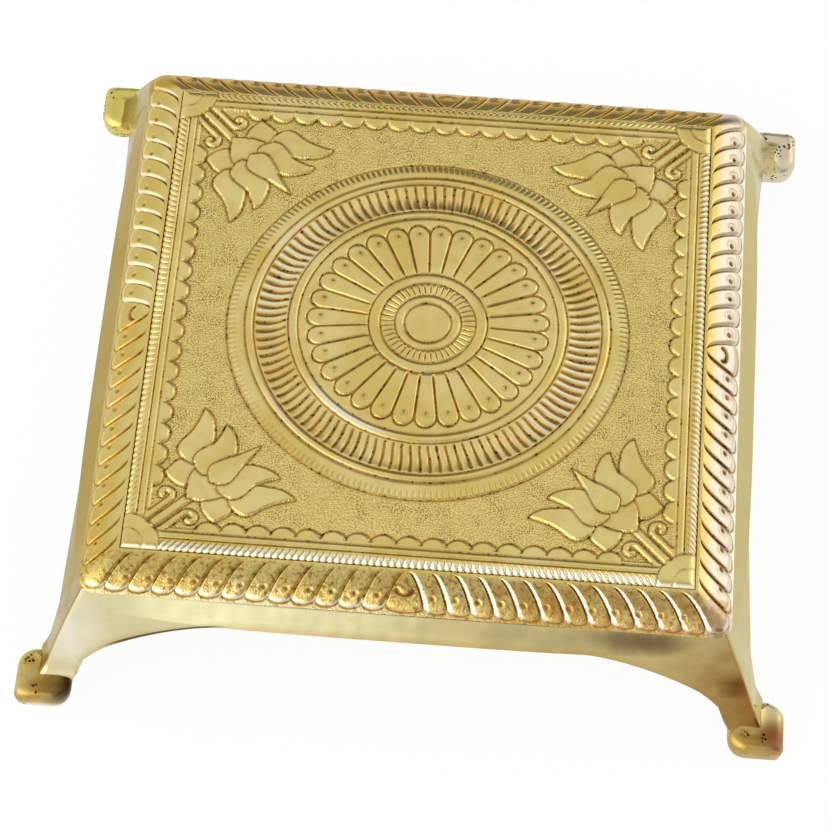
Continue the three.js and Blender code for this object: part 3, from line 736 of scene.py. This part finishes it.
# How strong the grooves' tarnish is, and the painted light on flanks and tips: painted highlight,
# and painted shade where a flank's share is negative, on the eight half sides from the front's
# left one round by the right
groove_shares = (0.55, 0.9, 0.85, 0.9, 0.9, 0.9, 0.85, 0.55)
flank_light_shares = (0, 1, -1, -0.5, 0.9, -0.8, 0.8, 0)
tip_highlight_shares = (0.75, 0.3, 0.8, 0.8, 0.2, 0.2, 0.3, 0.15)


def rolled(distance, width):
    """Quarter of a circle: 0 at the edge of a shape, and 1 from the width inwards."""
    return np.sqrt(1 - (1 - np.clip(distance / width, 0, 1)) ** 2)


def valley(number, share):
    """Place along a side of the valley before a lobe, which leans with a power of the share
    down the slope. Valley 0 is the edge of the leaf in the middle."""
    tip = first_tip + (lobe_tip_pitch - lobe_top_pitch) * number
    return lobe_top_pitch * number + tip * np.clip(share, 0, 1) ** lean_power


def rim_half_side():
    """Grid of one half of a side's face, from its middle to the mitre, as places along the side,
    places down the slope, relief over the base, marks for grooves and holes, and the painted
    light on flanks and tips.
    Its columns follow the valleys, and its rows follow the tips, which are half ellipses. The
    first part is the middle leaf's half and the last one fills the mitre. A lobe's height is
    the product of its slope up from one valley, a power of the distance, and of quarter
    circles down to the other valley and to the tip."""
    down = 1 - 0.22 * (1 - np.linspace(0.1, 1, 11)) ** 1.5
    down = np.concatenate([np.linspace(0, 0.78, 20), down])[:, None]
    grids = []
    for index in range(lobe_count + 1):
        middle, last = index == 0, index == lobe_count
        across = np.linspace(0, 1, 23) if middle or last else across_lobe
        across = across[:-1] if middle else across
        aside = across if middle else 1 - across if last else 2 * across - 1
        tip = cusp_place + (tip_place - cusp_place) * np.sqrt(1 - aside ** 2)
        beyond = tip + (slope_length - tip) * np.array([0.0, 0.16, 0.45, 0.75, 1])[:, None]
        place = np.concatenate([down * tip, beyond])
        share = place / slope_length
        start = np.zeros_like(share) if middle else valley(index - 1, share)
        end = slope_start + (lip_half - slope_start) * share if last else valley(index, share)
        along = start + (end - start) * across
        height, groove, flank_light = np.ones_like(place), np.zeros_like(place), np.zeros_like(place)
        on_lobe = ease(tip + 0.4 - place, 0, 0.4)
        if not middle:
            gap = (along - start) * lobe_slant
            height = 1 - (1 - np.clip(gap / gentle_roll, 0, 1)) ** 1.7
            groove = bump(gap, groove_width) * on_lobe
            # Painted light on the gentle flank beside the valley
            flank_light = bump(gap - flank_place, flank_width) * on_lobe
        if not last:
            gap = (end - along) * lobe_slant
            height = height * rolled(gap, steep_roll)
            groove = np.maximum(groove, bump(gap, 0.22) * on_lobe)
        height = height * rolled(tip - place, tip_roll)
        # Painted highlight on the rolled tip and on the band below the tips
        tip_highlight = bump(tip - 0.7 - place, 0.6) * (not middle)
        tip_highlight = np.maximum(tip_highlight, 0.7 * ease(place - tip, 0.3, 0.8))
        hole = (0.4 if last else 0.8) * bump(tip + 0.15 - place, 0.3)
        ring_along = first_ring + ring_pitch * (index - 1)
        ring = np.hypot((along - ring_along) * lobe_slant, place - ring_place)
        if middle:
            ring = np.abs(np.hypot(along, (place - leaf_arc_place) * 1.2) - leaf_arc_radius)
            ring = ring + 0.8 + 9 * (place < leaf_arc_place)
        if last:
            ring = ring + 99
        from_hole = ring - 0.8 * middle
        lift = ring_rise * bump(ring - ring_radius, ring_width) * (not middle)
        lift = lift - hole_depth * bump(from_hole, 0.5)
        hole = np.maximum(hole, np.minimum(1.35 * bump(from_hole, hole_width), 1))
        hole = np.maximum(hole, 0.4 * bump(ring - 1.55, 0.25))
        open_top = ease(place, 0, 1.2)
        relief = lobe_relief * (height - 1) * open_top + lift * (place < tip)
        groove, flank_light = groove * ease(place, 0, 0.8), flank_light * ease(place, 0, 1.5)
        grids.append((along, place, relief, groove, hole, flank_light, tip_highlight))
    return tuple(np.concatenate(parts, axis=1) for parts in zip(*grids))


def rim_places(along, place, relief):
    """Points of the face from places along the side and down the slope: the sloping face with
    its swell, its plan corner an arc that grows with the way down, and the relief laid on along
    the slope's normal."""
    share = place / slope_length
    half = slope_start + (lip_half - slope_start) * share
    level = rim_crest + (rim_seat + rim_lip - rim_crest) * share
    level = level + rim_bulge * np.sin(math.pi * share)
    radius = np.maximum(rim_corner * share, 1e-6)
    past = np.clip(along - half + radius, 0, radius)
    turn = past / radius * math.pi / 4
    along = along - past + radius * np.sin(turn)
    half = half - radius * (1 - np.cos(turn))
    outward = relief_out * relief
    level = level + relief_up * relief
    return along + outward * np.sin(turn), half + outward * np.cos(turn), level


def whole_side(values, sign=1):
    """Grid of a whole side from its right half, mirrored in its first column."""
    return np.hstack([sign * values[:, :0:-1], values])


def by_half(values, shares):
    """Values of half a side's grid, mirrored in the middle and spread round the square ring,
    with a share for each of its eight halves from the front's left one on."""
    left, right = values[:, :0:-1], values[:, :-1]
    halves = [(right if number % 2 else left) * share for number, share in enumerate(shares)]
    return np.concatenate(halves, axis=1)


def gadroon_frame():
    """Closed square ring: the chased face, the lip, the seat, the ledge and the inner wall."""
    along, place, relief, groove, hole, flank_light, tip_highlight = rim_half_side()
    along, out, height = rim_places(along, place, relief)
    lip = out[-1]
    under = [
        (lip, -lip_round, rim_seat + lip_round), (lip, -lip_foot, rim_seat),
        (seat_inner, 0, rim_seat), (seat_inner, 0, ledge_bottom),
        (ledge_inner, 0, ledge_bottom), (ledge_inner, 0, ledge_top),
        (rim_inner, 0, ledge_top), (rim_inner, 0, rim_crest - 0.2),
        (rim_inner + 0.15, 0, rim_crest),
    ]
    edge = along[-1]
    for line, shift, level in under:
        line = line + shift + lip * 0
        out = np.vstack([out, line])
        height = np.vstack([height, lip * 0 + level])
        along = np.vstack([along, edge / lip * line])
    plain = np.zeros((len(under), len(lip)))
    groove, hole, flank_light, tip_highlight = (np.vstack([part, plain]) for part in (groove, hole, flank_light, tip_highlight))
    places = four_sides(whole_side(along, -1), whole_side(out), whole_side(height))
    faces = grid_faces(places, closed_rows=True, closed_columns=True)
    marks = {
        "hollow": np.maximum(by_half(groove, groove_shares), by_half(hole, (1,) * 8)),
        "matted": np.zeros(places.shape[:2]),
        "painted_light": by_half(flank_light, flank_light_shares) + by_half(tip_highlight, tip_highlight_shares),
    }
    return cast_body("gadroon_frame", places, faces, marks, chased)


border = gadroon_frame()
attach(border, "root")
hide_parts("gadroon_rim")

# Sides
# Four plain castings of 2.5 mm brass under the frame, each an arched apron with half a leg at
# either end. They are mitred at the corners, filed smooth and polished bright.
side_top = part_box("side_front")[1][2] / MM
wall = 2.5
shoulder = 7.2
ankle_low = 5.7
side_top_half = rim_half - 1.5
ankle_half = side_top_half + 10.5
ankle_flare = 0.9
ankle_flare_height = 4
sweep_share = 0.22
bow_depth = 2.9
bow_top_share = 0.35
bow_half = side_top_half - 5.7
arch_top = side_top - 5.6
leg_inner = ankle_half - 7.8
arch_flat = leg_inner - 39.4
arch_power = 1.5
flange_inner = side_top_half - 11.3
flange_bottom = side_top - wall
lower_edge_round = 0.45
arris_radius = 0.9
arris_corner = arris_radius * (1 - math.sqrt(0.5))
# Painted dark reflection along the left end of the front's arch: where it begins and where it
# stops, over a few mm each
arch_reflection_span = ((-44, -52), (-79, -73))
# Painted reflections on the front, dark patches on the right leg and under the frame, and a
# painted highlight at the near left corner: middle, squeeze of each axis, inner and outer radius,
# strength and colour
front_painted_reflections = (
    ((97, -90, 14), (1, 1, 1), 14, 32, 0.9, "#8A5A14"),
    ((87, -93, 20), (1, 1, 1), 2.5, 6, 0.95, "#5A2E14"),
    ((63, -87, 33), (0.28, 1, 1), 2.5, 4.5, 0.9, "#6A5038"),
    ((36, -88, 33.5), (0.08, 1, 1), 2, 4, 0.5, "#948E6A"),
    ((-88, -92, 28), (1, 1, 0.5), 5, 13, 0.75, "#F7F3E2"),
)


def colour_patch(material, place, noise, where, colour, centre, squeeze, inner, outer, amount, tint):
    """Colour with a patch over it, for stains and for painted light. Its share falls by a smooth
    step with the distance to its centre, measured in squeezed axes and made ragged by adding noise
    times the step's width."""
    near = add(material, "VectorMath", {0: place, 1: squeeze}, operation="MULTIPLY")
    near = add(material, "VectorMath", {0: near, 1: np.array(centre) * squeeze}, "Value",
               operation="DISTANCE")
    near = add(material, "Math", {0: noise, 1: (outer - inner) * 1.2, 2: near},
               operation="MULTIPLY_ADD")
    return tinted(material, colour, tint, near, outer * 1.5, inner, amount, where)


def polished_brass():
    """Brass filed and buffed: a soft mirror with long faint buffing streaks and a few dull spots.
    Painted reflections: the front is palest, with a painted highlight at its near left corner,
    and darker towards the right, with dark patches on the right leg and under the frame; the
    other sides are darker, most on the left. The front is browner towards its lower edge and
    has a dark painted reflection along the left end of its arch."""
    metal, place = empty_material("polished_brass")
    low = add(metal, "Attribute", {}, "Fac", attribute_name="low")
    # Noise by its size in mm and detail, and buffing streaks 1.6 mm apart, drawn out sideways
    cloud, spot, swell = (
        add(metal, "TexNoise", {"Vector": place, "Scale": 1 / size, "Detail": detail})
        for size, detail in ((30, 3), (6, 4), (9, 1)))
    drawn = add(metal, "VectorMath", {0: place, 1: (0.25, 0.25, 2.5)}, operation="MULTIPLY")
    streak = add(metal, "TexNoise", {"Vector": drawn, "Scale": 1 / 1.6, "Detail": 2})
    x, y = (add(metal, "SeparateXYZ", {0: place}, axis) for axis in "XY")
    aside = add(metal, "Math", {0: x}, operation="ABSOLUTE")
    aside = add(metal, "Math", {0: y, 1: aside}, operation="ADD")
    in_front = add(metal, "MapRange", {0: aside, 1: 0.4, 2: -0.4})

    # Painted reflections: the front pale and darker towards the right, the other sides darker
    # towards the left
    front = tinted(metal, "#DAD3A5", "#BFAE74", x, -50, 60)
    rest = tinted(metal, "#AD943F", "#C7B97A", x, -50, 60)
    colour = add(metal, "Mix", {0: in_front, 6: rest, 7: front}, 2, data_type="RGBA")
    colour = tinted(metal, colour, "#C8B070", cloud, 0.4, 0.7, 0.3)
    colour = tinted(metal, colour, "#BC9A50", low, 0.5, 1, 0.5, in_front)
    colour = tinted(metal, colour, "#BF9F5E", spot, 0.6, 0.76, 0.25)
    # Painted dark reflection on the lowest edge of the front's arch, at its left end
    on_arch = in_front
    for start, end in arch_reflection_span:
        share = add(metal, "MapRange", {0: x, 1: start, 2: end}, **smooth)
        on_arch = add(metal, "Math", {0: share, 1: on_arch}, operation="MULTIPLY")
    colour = tinted(metal, colour, "#3E2A12", low, 0.8, 0.88, 0.85, on_arch)
    # Painted reflections and a painted highlight on the front
    for patch in front_painted_reflections:
        colour = colour_patch(metal, place, spot, in_front, colour, *patch)

    rough = add(metal, "MapRange", {0: spot, 1: 0.4, 2: 0.7, 3: 0.13, 4: 0.26}, **smooth)
    rough = add(metal, "Math", {0: cloud, 1: 0.1, 2: rough}, operation="MULTIPLY_ADD")
    normal = add(metal, "Bump", {"Strength": 0.25, "Distance": 0.05 * MM, "Height": streak})
    normal = add(metal, "Bump", {"Strength": 0.5, "Distance": 0.4 * MM, "Height": swell,
                                 "Normal": normal})
    return bare_metal(metal, colour, rough, normal)


polished = polished_brass()


def swept_half(height):
    """Half width of the table over a corner at a height: a slowing outward sweep, written as a
    quadratic of the share of the way down, with a squared flare over the ankle."""
    share = (side_top - height) / (side_top - shoulder)
    sweep = (1 + sweep_share) * share - sweep_share * share ** 2
    flare = np.clip(1 - (height - shoulder) / ankle_flare_height, 0, 1)
    return side_top_half + (ankle_half - side_top_half) * sweep + ankle_flare * flare ** 2


def bow(along, height):
    """How far the face stands outside the corner line: a fourth-power curve across the side,
    growing from the top down to the lower edge."""
    down = np.clip((side_top - height) / (side_top - arch_top), 0, 1)
    across = 1 - np.clip(np.abs(along) / bow_half, 0, 1) ** 4
    return bow_depth * across * (bow_top_share + (1 - bow_top_share) * down)


def even_steps(x, y, count, endpoint=True):
    """Points at even steps of length along a line of points, found on its running length."""
    length = np.concatenate([[0], np.cumsum(np.hypot(np.diff(x), np.diff(y)))])
    even = np.linspace(0, length[-1], count, endpoint=endpoint)
    return np.interp(even, length, x), np.interp(even, length, y)


def lower_edge(count):
    """Points of half a side's lower edge from its middle to the corner of the ankle, at even
    steps of length: level, then a superellipse down to the leg, then down into the toe."""
    share = np.linspace(0, 1, 400) ** 0.5
    along = arch_flat + (leg_inner - arch_flat) * share
    height = shoulder + (arch_top - shoulder) * (1 - share ** arch_power) ** (1 / arch_power)
    ankle = swept_half(np.array(ankle_low))
    along = np.concatenate([[0], along, [leg_inner, ankle]])
    height = np.concatenate([[arch_top], height, [ankle_low, ankle_low]])
    return even_steps(along, height, count)


def side_body(name, quarter):
    """Closed section carried along a side. A line of its outer face runs straight from the top
    to the lower edge, bent towards the corner so that the last one follows the arris, and the
    section goes on round the edge, up the inner face and round the flange."""
    half_count, down_count, round_count = 120, 64, 7
    edge_along, edge_height = lower_edge(half_count)
    side_share = np.linspace(0, 1, half_count)
    down = np.linspace(0, 1, down_count)[:, None]
    top = side_top + seam
    height = top + (edge_height - top) * down
    along = side_share * side_top_half + (edge_along - side_share * side_top_half) * down
    corner_height = height[:, -1:]
    straight = side_top_half + (edge_along[-1] - side_top_half) * down
    along = along + side_share ** 8 * (swept_half(corner_height) - straight)
    face = swept_half(height)
    from_arris = np.clip(face - along, arris_corner, arris_radius)
    softened = arris_radius - np.sqrt(arris_radius ** 2 - (arris_radius - from_arris) ** 2)
    along = np.minimum(along, face - arris_corner)
    outer = face + bow(along, height) - softened

    turn = np.linspace(0, math.pi, round_count + 2)[1:-1, None]
    round_along = along[-1] - (1 - np.cos(turn)) / 2 * wall * side_share ** 6
    round_out = outer[-1] - wall * (1 - np.cos(turn)) / 2
    round_height = height[-1] - lower_edge_round * np.sin(turn) * (1 - side_share ** 12)
    up = np.linspace(0, 1, 6)[:, None]
    inner_height = height[-1] + (flange_bottom - height[-1]) * up
    inner_along_top = side_share * (side_top_half - wall)
    inner_half = swept_half(inner_height) - wall
    inner_along = round_along[-1] + (inner_along_top - round_along[-1]) * up
    inner_along = np.minimum(inner_along, inner_half)
    inner_out = inner_half + bow(inner_along, inner_height)
    flange = np.ones((2, half_count))
    flange_height = flange * [[flange_bottom], [top]]
    along = np.vstack([along, round_along, inner_along, flange * side_share * flange_inner])
    out = np.vstack([outer, round_out, inner_out, flange * flange_inner])
    height = np.vstack([height, round_height, inner_height, flange_height])
    low = np.zeros_like(height)
    low[:down_count] = down ** 1.5
    low[down_count:down_count + round_count] = 1
    places = on_side(whole_side(along, -1), whole_side(out), whole_side(height), quarter)
    places = places.transpose(1, 0, 2)
    ends = places.mean(axis=1, keepdims=True).repeat(places.shape[1], axis=1)
    places = np.concatenate([ends[:1], places, ends[-1:]])
    low = whole_side(low).T
    low = np.concatenate([low[:1], low, low[-1:]])
    faces = grid_faces(places, closed_columns=True, poles=True)
    return cast_body(name, places, faces, {"low": low}, polished)


for quarter, place in enumerate(("front", "right", "back", "left")):
    apron = side_body(f"side_casting_{place}", quarter)
    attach(apron, "root")
    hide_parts(f"side_{place}")

# Toes
# Four small castings brazed under the legs and turned outward like a scroll, left rougher
# than the sides: a rolled lip, pits, and a red-brown bloom from the torch.
toe_low, toe_high = (np.array(corner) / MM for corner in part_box("toe_front_right"))
feet_half = toe_high[0]
toe_inner = toe_low[0]
toe_top = toe_high[2]
lip_radius = 2.6
toe_end_radius = 5
toe_heel_radius = 1.8
# Stains of the toes and two painted highlights, the cream ones: middle, squeeze of each axis,
# inner and outer radius, strength and colour
toe_stains_and_highlights = (
    ((92, -100, 2), (1, 1, 1), 4, 9, 0.6, "#B0923F"),
    ((98, -97, 7), (1, 1, 1), 3, 7.5, 0.9, "#84452A"),
    # Painted highlight, cream, on the front right toe's right arm
    ((99, -86, 6), (1, 1, 1), 3, 7, 0.75, "#EDE6CC"),
    ((-94, -97, 5), (1, 1, 1), 4, 9, 0.6, "#9C7230"),
    ((-85, -98, 7), (1, 1, 1), 5, 9, 1, "#2E1009"),
    # Painted highlight, cream, along the sole of the front left toe
    ((-96, -101, 0.6), (0.2, 1, 1), 1, 2, 0.9, "#F6EFD2"),
    ((-99, -90, 6), (1, 1, 1), 2, 8, 0.7, "#CDB04A"),
)
# Outer face, from the sole up: how far it is drawn in, and height
toe_face = ((0.9, 0), (0.65, 0.05), (0.5, 0.3), (0.32, 1.3), (0.12, 2.6), (0.01, 3.9))
# Upper side behind the rolled lip: distance from the outer faces, and height
toe_profile = ((2.6, 6.9), (3.4, 6.82), (4.2, 6.75), (5, 6.85), (5.7, 7.1), (6.4, 7.4),
               (7.2, 7.7), (8.4, 6.9), (30, 6.9))


def cast_brass():
    """Brass as it left the mould, rubbed over: duller and browner, with groups of pits. The torch
    left red-brown blooms on the two front toes, which also carry two painted highlights, cream.
    The back ones are clean, and the back right one is painted paler, nearly white, partly as a
    painted reflection."""
    metal, place = empty_material("cast_brass")
    # Noise by its size in mm and detail, and pits about 1 mm apart
    cloud, grain, where = (
        add(metal, "TexNoise", {"Vector": place, "Scale": 1 / size, "Detail": detail})
        for size, detail in ((9, 3), (0.5, 2), (4.5, 1)))
    bloom = add(metal, "TexNoise", {"Vector": place, "Scale": 1 / 12, "Detail": 2,
                                    "Distortion": 0.4})
    pit = add(metal, "TexVoronoi", {"Vector": place, "Scale": 1 / 1.0, "Randomness": 1.0})
    pit = add(metal, "MapRange", {0: pit, 1: 0.25, 2: 0.5, 3: 1, 4: 0}, **smooth)
    group = add(metal, "MapRange", {0: where, 1: 0.56, 2: 0.62}, **smooth)
    pit = add(metal, "Math", {0: pit, 1: group}, operation="MULTIPLY")

    x, y = (add(metal, "SeparateXYZ", {0: place}, axis) for axis in "XY")
    east, back = (add(metal, "MapRange", {0: axis, 1: -50, 2: 50}) for axis in (x, y))
    front = tinted(metal, "#DFCB86", "#B8964A", cloud, 0.35, 0.65)
    # Back toes: the right one painted paler, nearly white, partly as a painted reflection
    back_colour = add(metal, "Mix", {0: east, 6: "#DCCB6E", 7: "#DED2B2"}, 2, data_type="RGBA")
    colour = add(metal, "Mix", {0: back, 6: front, 7: back_colour}, 2, data_type="RGBA")
    # Stains, and painted highlights on the front toes
    for patch in toe_stains_and_highlights:
        colour = colour_patch(metal, place, bloom, None, colour, *patch)
    colour = add(metal, "Mix", {0: pit, 6: colour, 7: "#3B2410"}, 2, data_type="RGBA")
    rough = add(metal, "MapRange", {0: pit, 3: 0.31, 4: 0.55})
    rough = add(metal, "Math", {0: cloud, 1: 0.1, 2: rough}, operation="MULTIPLY_ADD")
    fine = add(metal, "Math", {0: grain, 1: 0.3}, operation="MULTIPLY")
    height = add(metal, "Math", {0: fine, 1: pit}, operation="SUBTRACT")
    normal = add(metal, "Bump", {"Strength": 0.7, "Distance": 0.25 * MM, "Height": height})
    normal = add(metal, "Bump", {"Strength": 0.5, "Distance": 0.5 * MM, "Height": where,
                                 "Normal": normal})
    return bare_metal(metal, colour, rough, normal)


rough_brass = cast_brass()


def toe_outline(count):
    """Outline of a toe seen from above, as even steps along a square whose four corners are
    arcs: tight ones at the leg's inner corner and the outermost one, wide ones at both arms.
    A corner is its place, the radius of its arc and the angle at which the arc starts."""
    corners = (
        (toe_inner, -toe_inner, toe_heel_radius, 90), (toe_inner, -feet_half, toe_end_radius, 180),
        (feet_half, -feet_half, toe_heel_radius, 270), (feet_half, -toe_inner, toe_end_radius, 0),
    )
    x, y = [], []
    for corner_x, corner_y, radius, start in corners:
        turn = np.radians(np.linspace(start, start + 90, 12))
        inward_x = radius if corner_x == toe_inner else -radius
        inward_y = -radius if corner_y == -toe_inner else radius
        x.extend(corner_x + inward_x + radius * np.cos(turn))
        y.extend(corner_y + inward_y + radius * np.sin(turn))
    return np.stack(even_steps(x + x[:1], y + y[:1], count, endpoint=False), axis=-1)


def toe_body(name, quarter):
    """Rings of the outline, each drawn in towards the middle: a flat sole, a face that leans a
    little, and the upper side. There the height follows the distance to the two outer faces, a
    smooth minimum, over a rolled lip and up a hollow curve to the leg, and stays under a rolled
    edge all round."""
    outline = toe_outline(280)
    middle = np.array([(toe_inner + feet_half) / 2, -(toe_inner + feet_half) / 2])
    reach = (feet_half - toe_inner) / 2
    roll = np.linspace(0, math.pi / 2, 8)
    face = toe_top - lip_radius
    lower = np.array([(reach, 0), *toe_face])
    draw = np.concatenate([
        lower[:, 0], lip_radius * (1 - np.cos(roll)),
        np.linspace(lip_radius + 0.1, reach - 0.2, 44), [reach],
    ])[:, None]
    rings = middle + (outline - middle) * (1 - draw / reach)[..., None]
    edge, upper = draw[len(lower):], rings[len(lower):]
    from_face = -np.logaddexp(upper[..., 0] - feet_half, -upper[..., 1] - feet_half)
    profile = curved(toe_profile)
    swept = np.where(from_face < lip_radius, face + lip_radius * rolled(from_face, lip_radius),
                     np.interp(from_face, profile[:, 0], profile[:, 1]))
    rounded = face + lip_radius * rolled(edge, lip_radius) + 1.8 * ease(edge, 2.2, 5.5)
    levels = np.repeat(lower[:, 1:], len(outline), axis=1)
    levels = np.concatenate([levels, np.minimum(swept, rounded)])
    places = on_side(rings[..., 0], -rings[..., 1], levels, quarter)
    faces = grid_faces(places, closed_columns=True, poles=True)
    return cast_body(name, places, faces, {}, rough_brass)


for quarter, place in enumerate(("front_right", "back_right", "back_left", "front_left")):
    foot = toe_body(f"toe_casting_{place}", quarter)
    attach(foot, "root")
    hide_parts(f"toe_{place}")

# Screws
# Twelve slotted brass screws under the frame, turned and left dull. Their solids keep the
# shape that the frame gives them.


def turned_brass():
    """Brass turned on a lathe and left to dull: fine rings of tool marks and a brown film."""
    metal, place = empty_material("turned_brass")
    film = add(metal, "TexNoise", {"Vector": place, "Scale": 1 / 2.5, "Detail": 3})
    # At scale 1 the lines of a wave lie pi / 10 apart, and here 0.26 mm
    wave = {"Vector": place, "Scale": math.pi / 10 / 0.2618, "Distortion": 0.4}
    lines = add(metal, "TexWave", wave, 1, bands_direction="Z")
    colour = tinted(metal, "#B8985A", "#8C6A33", film, 0.35, 0.65)
    rough = add(metal, "MapRange", {0: film, 1: 0.3, 2: 0.7, 3: 0.35, 4: 0.5})
    normal = add(metal, "Bump", {"Strength": 0.3, "Distance": 0.05 * MM, "Height": lines})
    return bare_metal(metal, colour, rough, normal)


dull_brass = turned_brass()
for name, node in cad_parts.items():
    if "screw" in name:
        node.data.materials.clear()
        node.data.materials.append(dull_brass)

# Studio
# A white floor and backdrop in soft light: a bright room on the left and behind on the right,
# and darker strips overhead, behind and to the right of the front, as the metal shows them.
camera_azimuth = 2.790
camera_elevation = 57.689
camera_distance = 913.0
camera_aim = (-1.63, -28.04, 42.2)
camera_roll = 1.785
camera_lens = 150.3
floor_half = 30.0
room_light = 0.85
least_light = 0.08
# Soft boxes and dark strips: direction, inner and outer angle in degrees, light added
soft_boxes = (
    ((-0.80, -0.58, 0.12), 25, 60, 0.7),
    ((-0.89, -0.45, -0.04), 3, 14, 1.2),
    ((-0.40, -0.80, 0.45), 10, 26, 1.1),
    ((0.80, 0.45, 0.38), 8, 22, 0.6),
    ((0.68, 0.56, 0.45), 10, 32, 0.25),
    ((0.12, -0.40, 0.91), 8, 20, -0.35),
    ((-0.70, -0.46, 0.55), 8, 24, 0.7),
    ((0.62, -0.72, 0.30), 10, 30, -0.55),
    ((0.15, 0.97, 0.2), 12, 38, -0.7),
)

floor_mesh = bpy.data.meshes.new("floor")
corners = [(x * floor_half, y * floor_half, 0) for x, y in ((-1, -1), (1, -1), (1, 1), (-1, 1))]
floor_mesh.from_pydata(corners, [], [(0, 1, 2, 3)])
floor = bpy.data.objects.new("floor", floor_mesh)
bpy.context.scene.collection.objects.link(floor)
white_floor = bpy.data.materials.new("white_floor")
white_floor.use_nodes = True
white_floor.node_tree.nodes.clear()
cover = add(white_floor, "BsdfDiffuse", {"Color": "#F7F7F5"})
glow = add(white_floor, "Emission", {"Color": (1, 1, 1, 1), "Strength": 1.0})
seen = add(white_floor, "LightPath", {}, "Is Camera Ray")
mirrored = add(white_floor, "LightPath", {}, "Is Glossy Ray")
seen = add(white_floor, "Math", {0: seen, 1: mirrored}, operation="MAXIMUM")
share = add(white_floor, "Math", {0: seen, 1: 0.95}, operation="MULTIPLY")
surface = add(white_floor, "MixShader", {0: share, 1: cover, 2: glow})
add(white_floor, "OutputMaterial", {"Surface": surface})
floor_mesh.materials.append(white_floor)

world = bpy.data.worlds.new("studio")
world.use_nodes = True
world.node_tree.nodes.clear()
bpy.context.scene.world = world
direction = add(world, "TexCoord", {}, "Generated")
light = room_light
for towards, inner, outer, amount in soft_boxes:
    facing = add(world, "VectorMath", {0: direction, 1: Vector(towards).normalized()}, "Value",
                 operation="DOT_PRODUCT")
    edge, core = math.cos(math.radians(outer)), math.cos(math.radians(inner))
    box = add(world, "MapRange", {0: facing, 1: edge, 2: core, 4: amount}, **smooth)
    light = add(world, "Math", {0: box, 1: light}, operation="ADD")
seen = add(world, "LightPath", {}, "Is Camera Ray")
light = add(world, "Math", {0: light, 1: least_light}, operation="MAXIMUM")
light = add(world, "Mix", {0: seen, 2: light, 3: 1.0}, data_type="FLOAT")
sky = add(world, "Background", {"Color": (1, 1, 1, 1), "Strength": light})
add(world, "OutputWorld", {"Surface": sky})

camera_data = bpy.data.cameras.new("camera")
camera_data.lens = camera_lens
camera_data.sensor_width = 36
camera_data.clip_start = 0.01
camera_data.clip_end = 100
camera = bpy.data.objects.new("camera", camera_data)
bpy.context.scene.collection.objects.link(camera)
azimuth, elevation = math.radians(camera_azimuth), math.radians(camera_elevation)
back = Vector((math.sin(azimuth) * math.cos(elevation),
               -math.cos(azimuth) * math.cos(elevation), math.sin(elevation)))
camera.location = (Vector(camera_aim) + back * camera_distance) * MM
look = (-back).to_track_quat("-Z", "Y").to_matrix()
camera.rotation_euler = (look @ Matrix.Rotation(math.radians(camera_roll), 3, "Z")).to_euler()
bpy.context.scene.camera = camera
bpy.context.scene.view_settings.view_transform = "Standard"
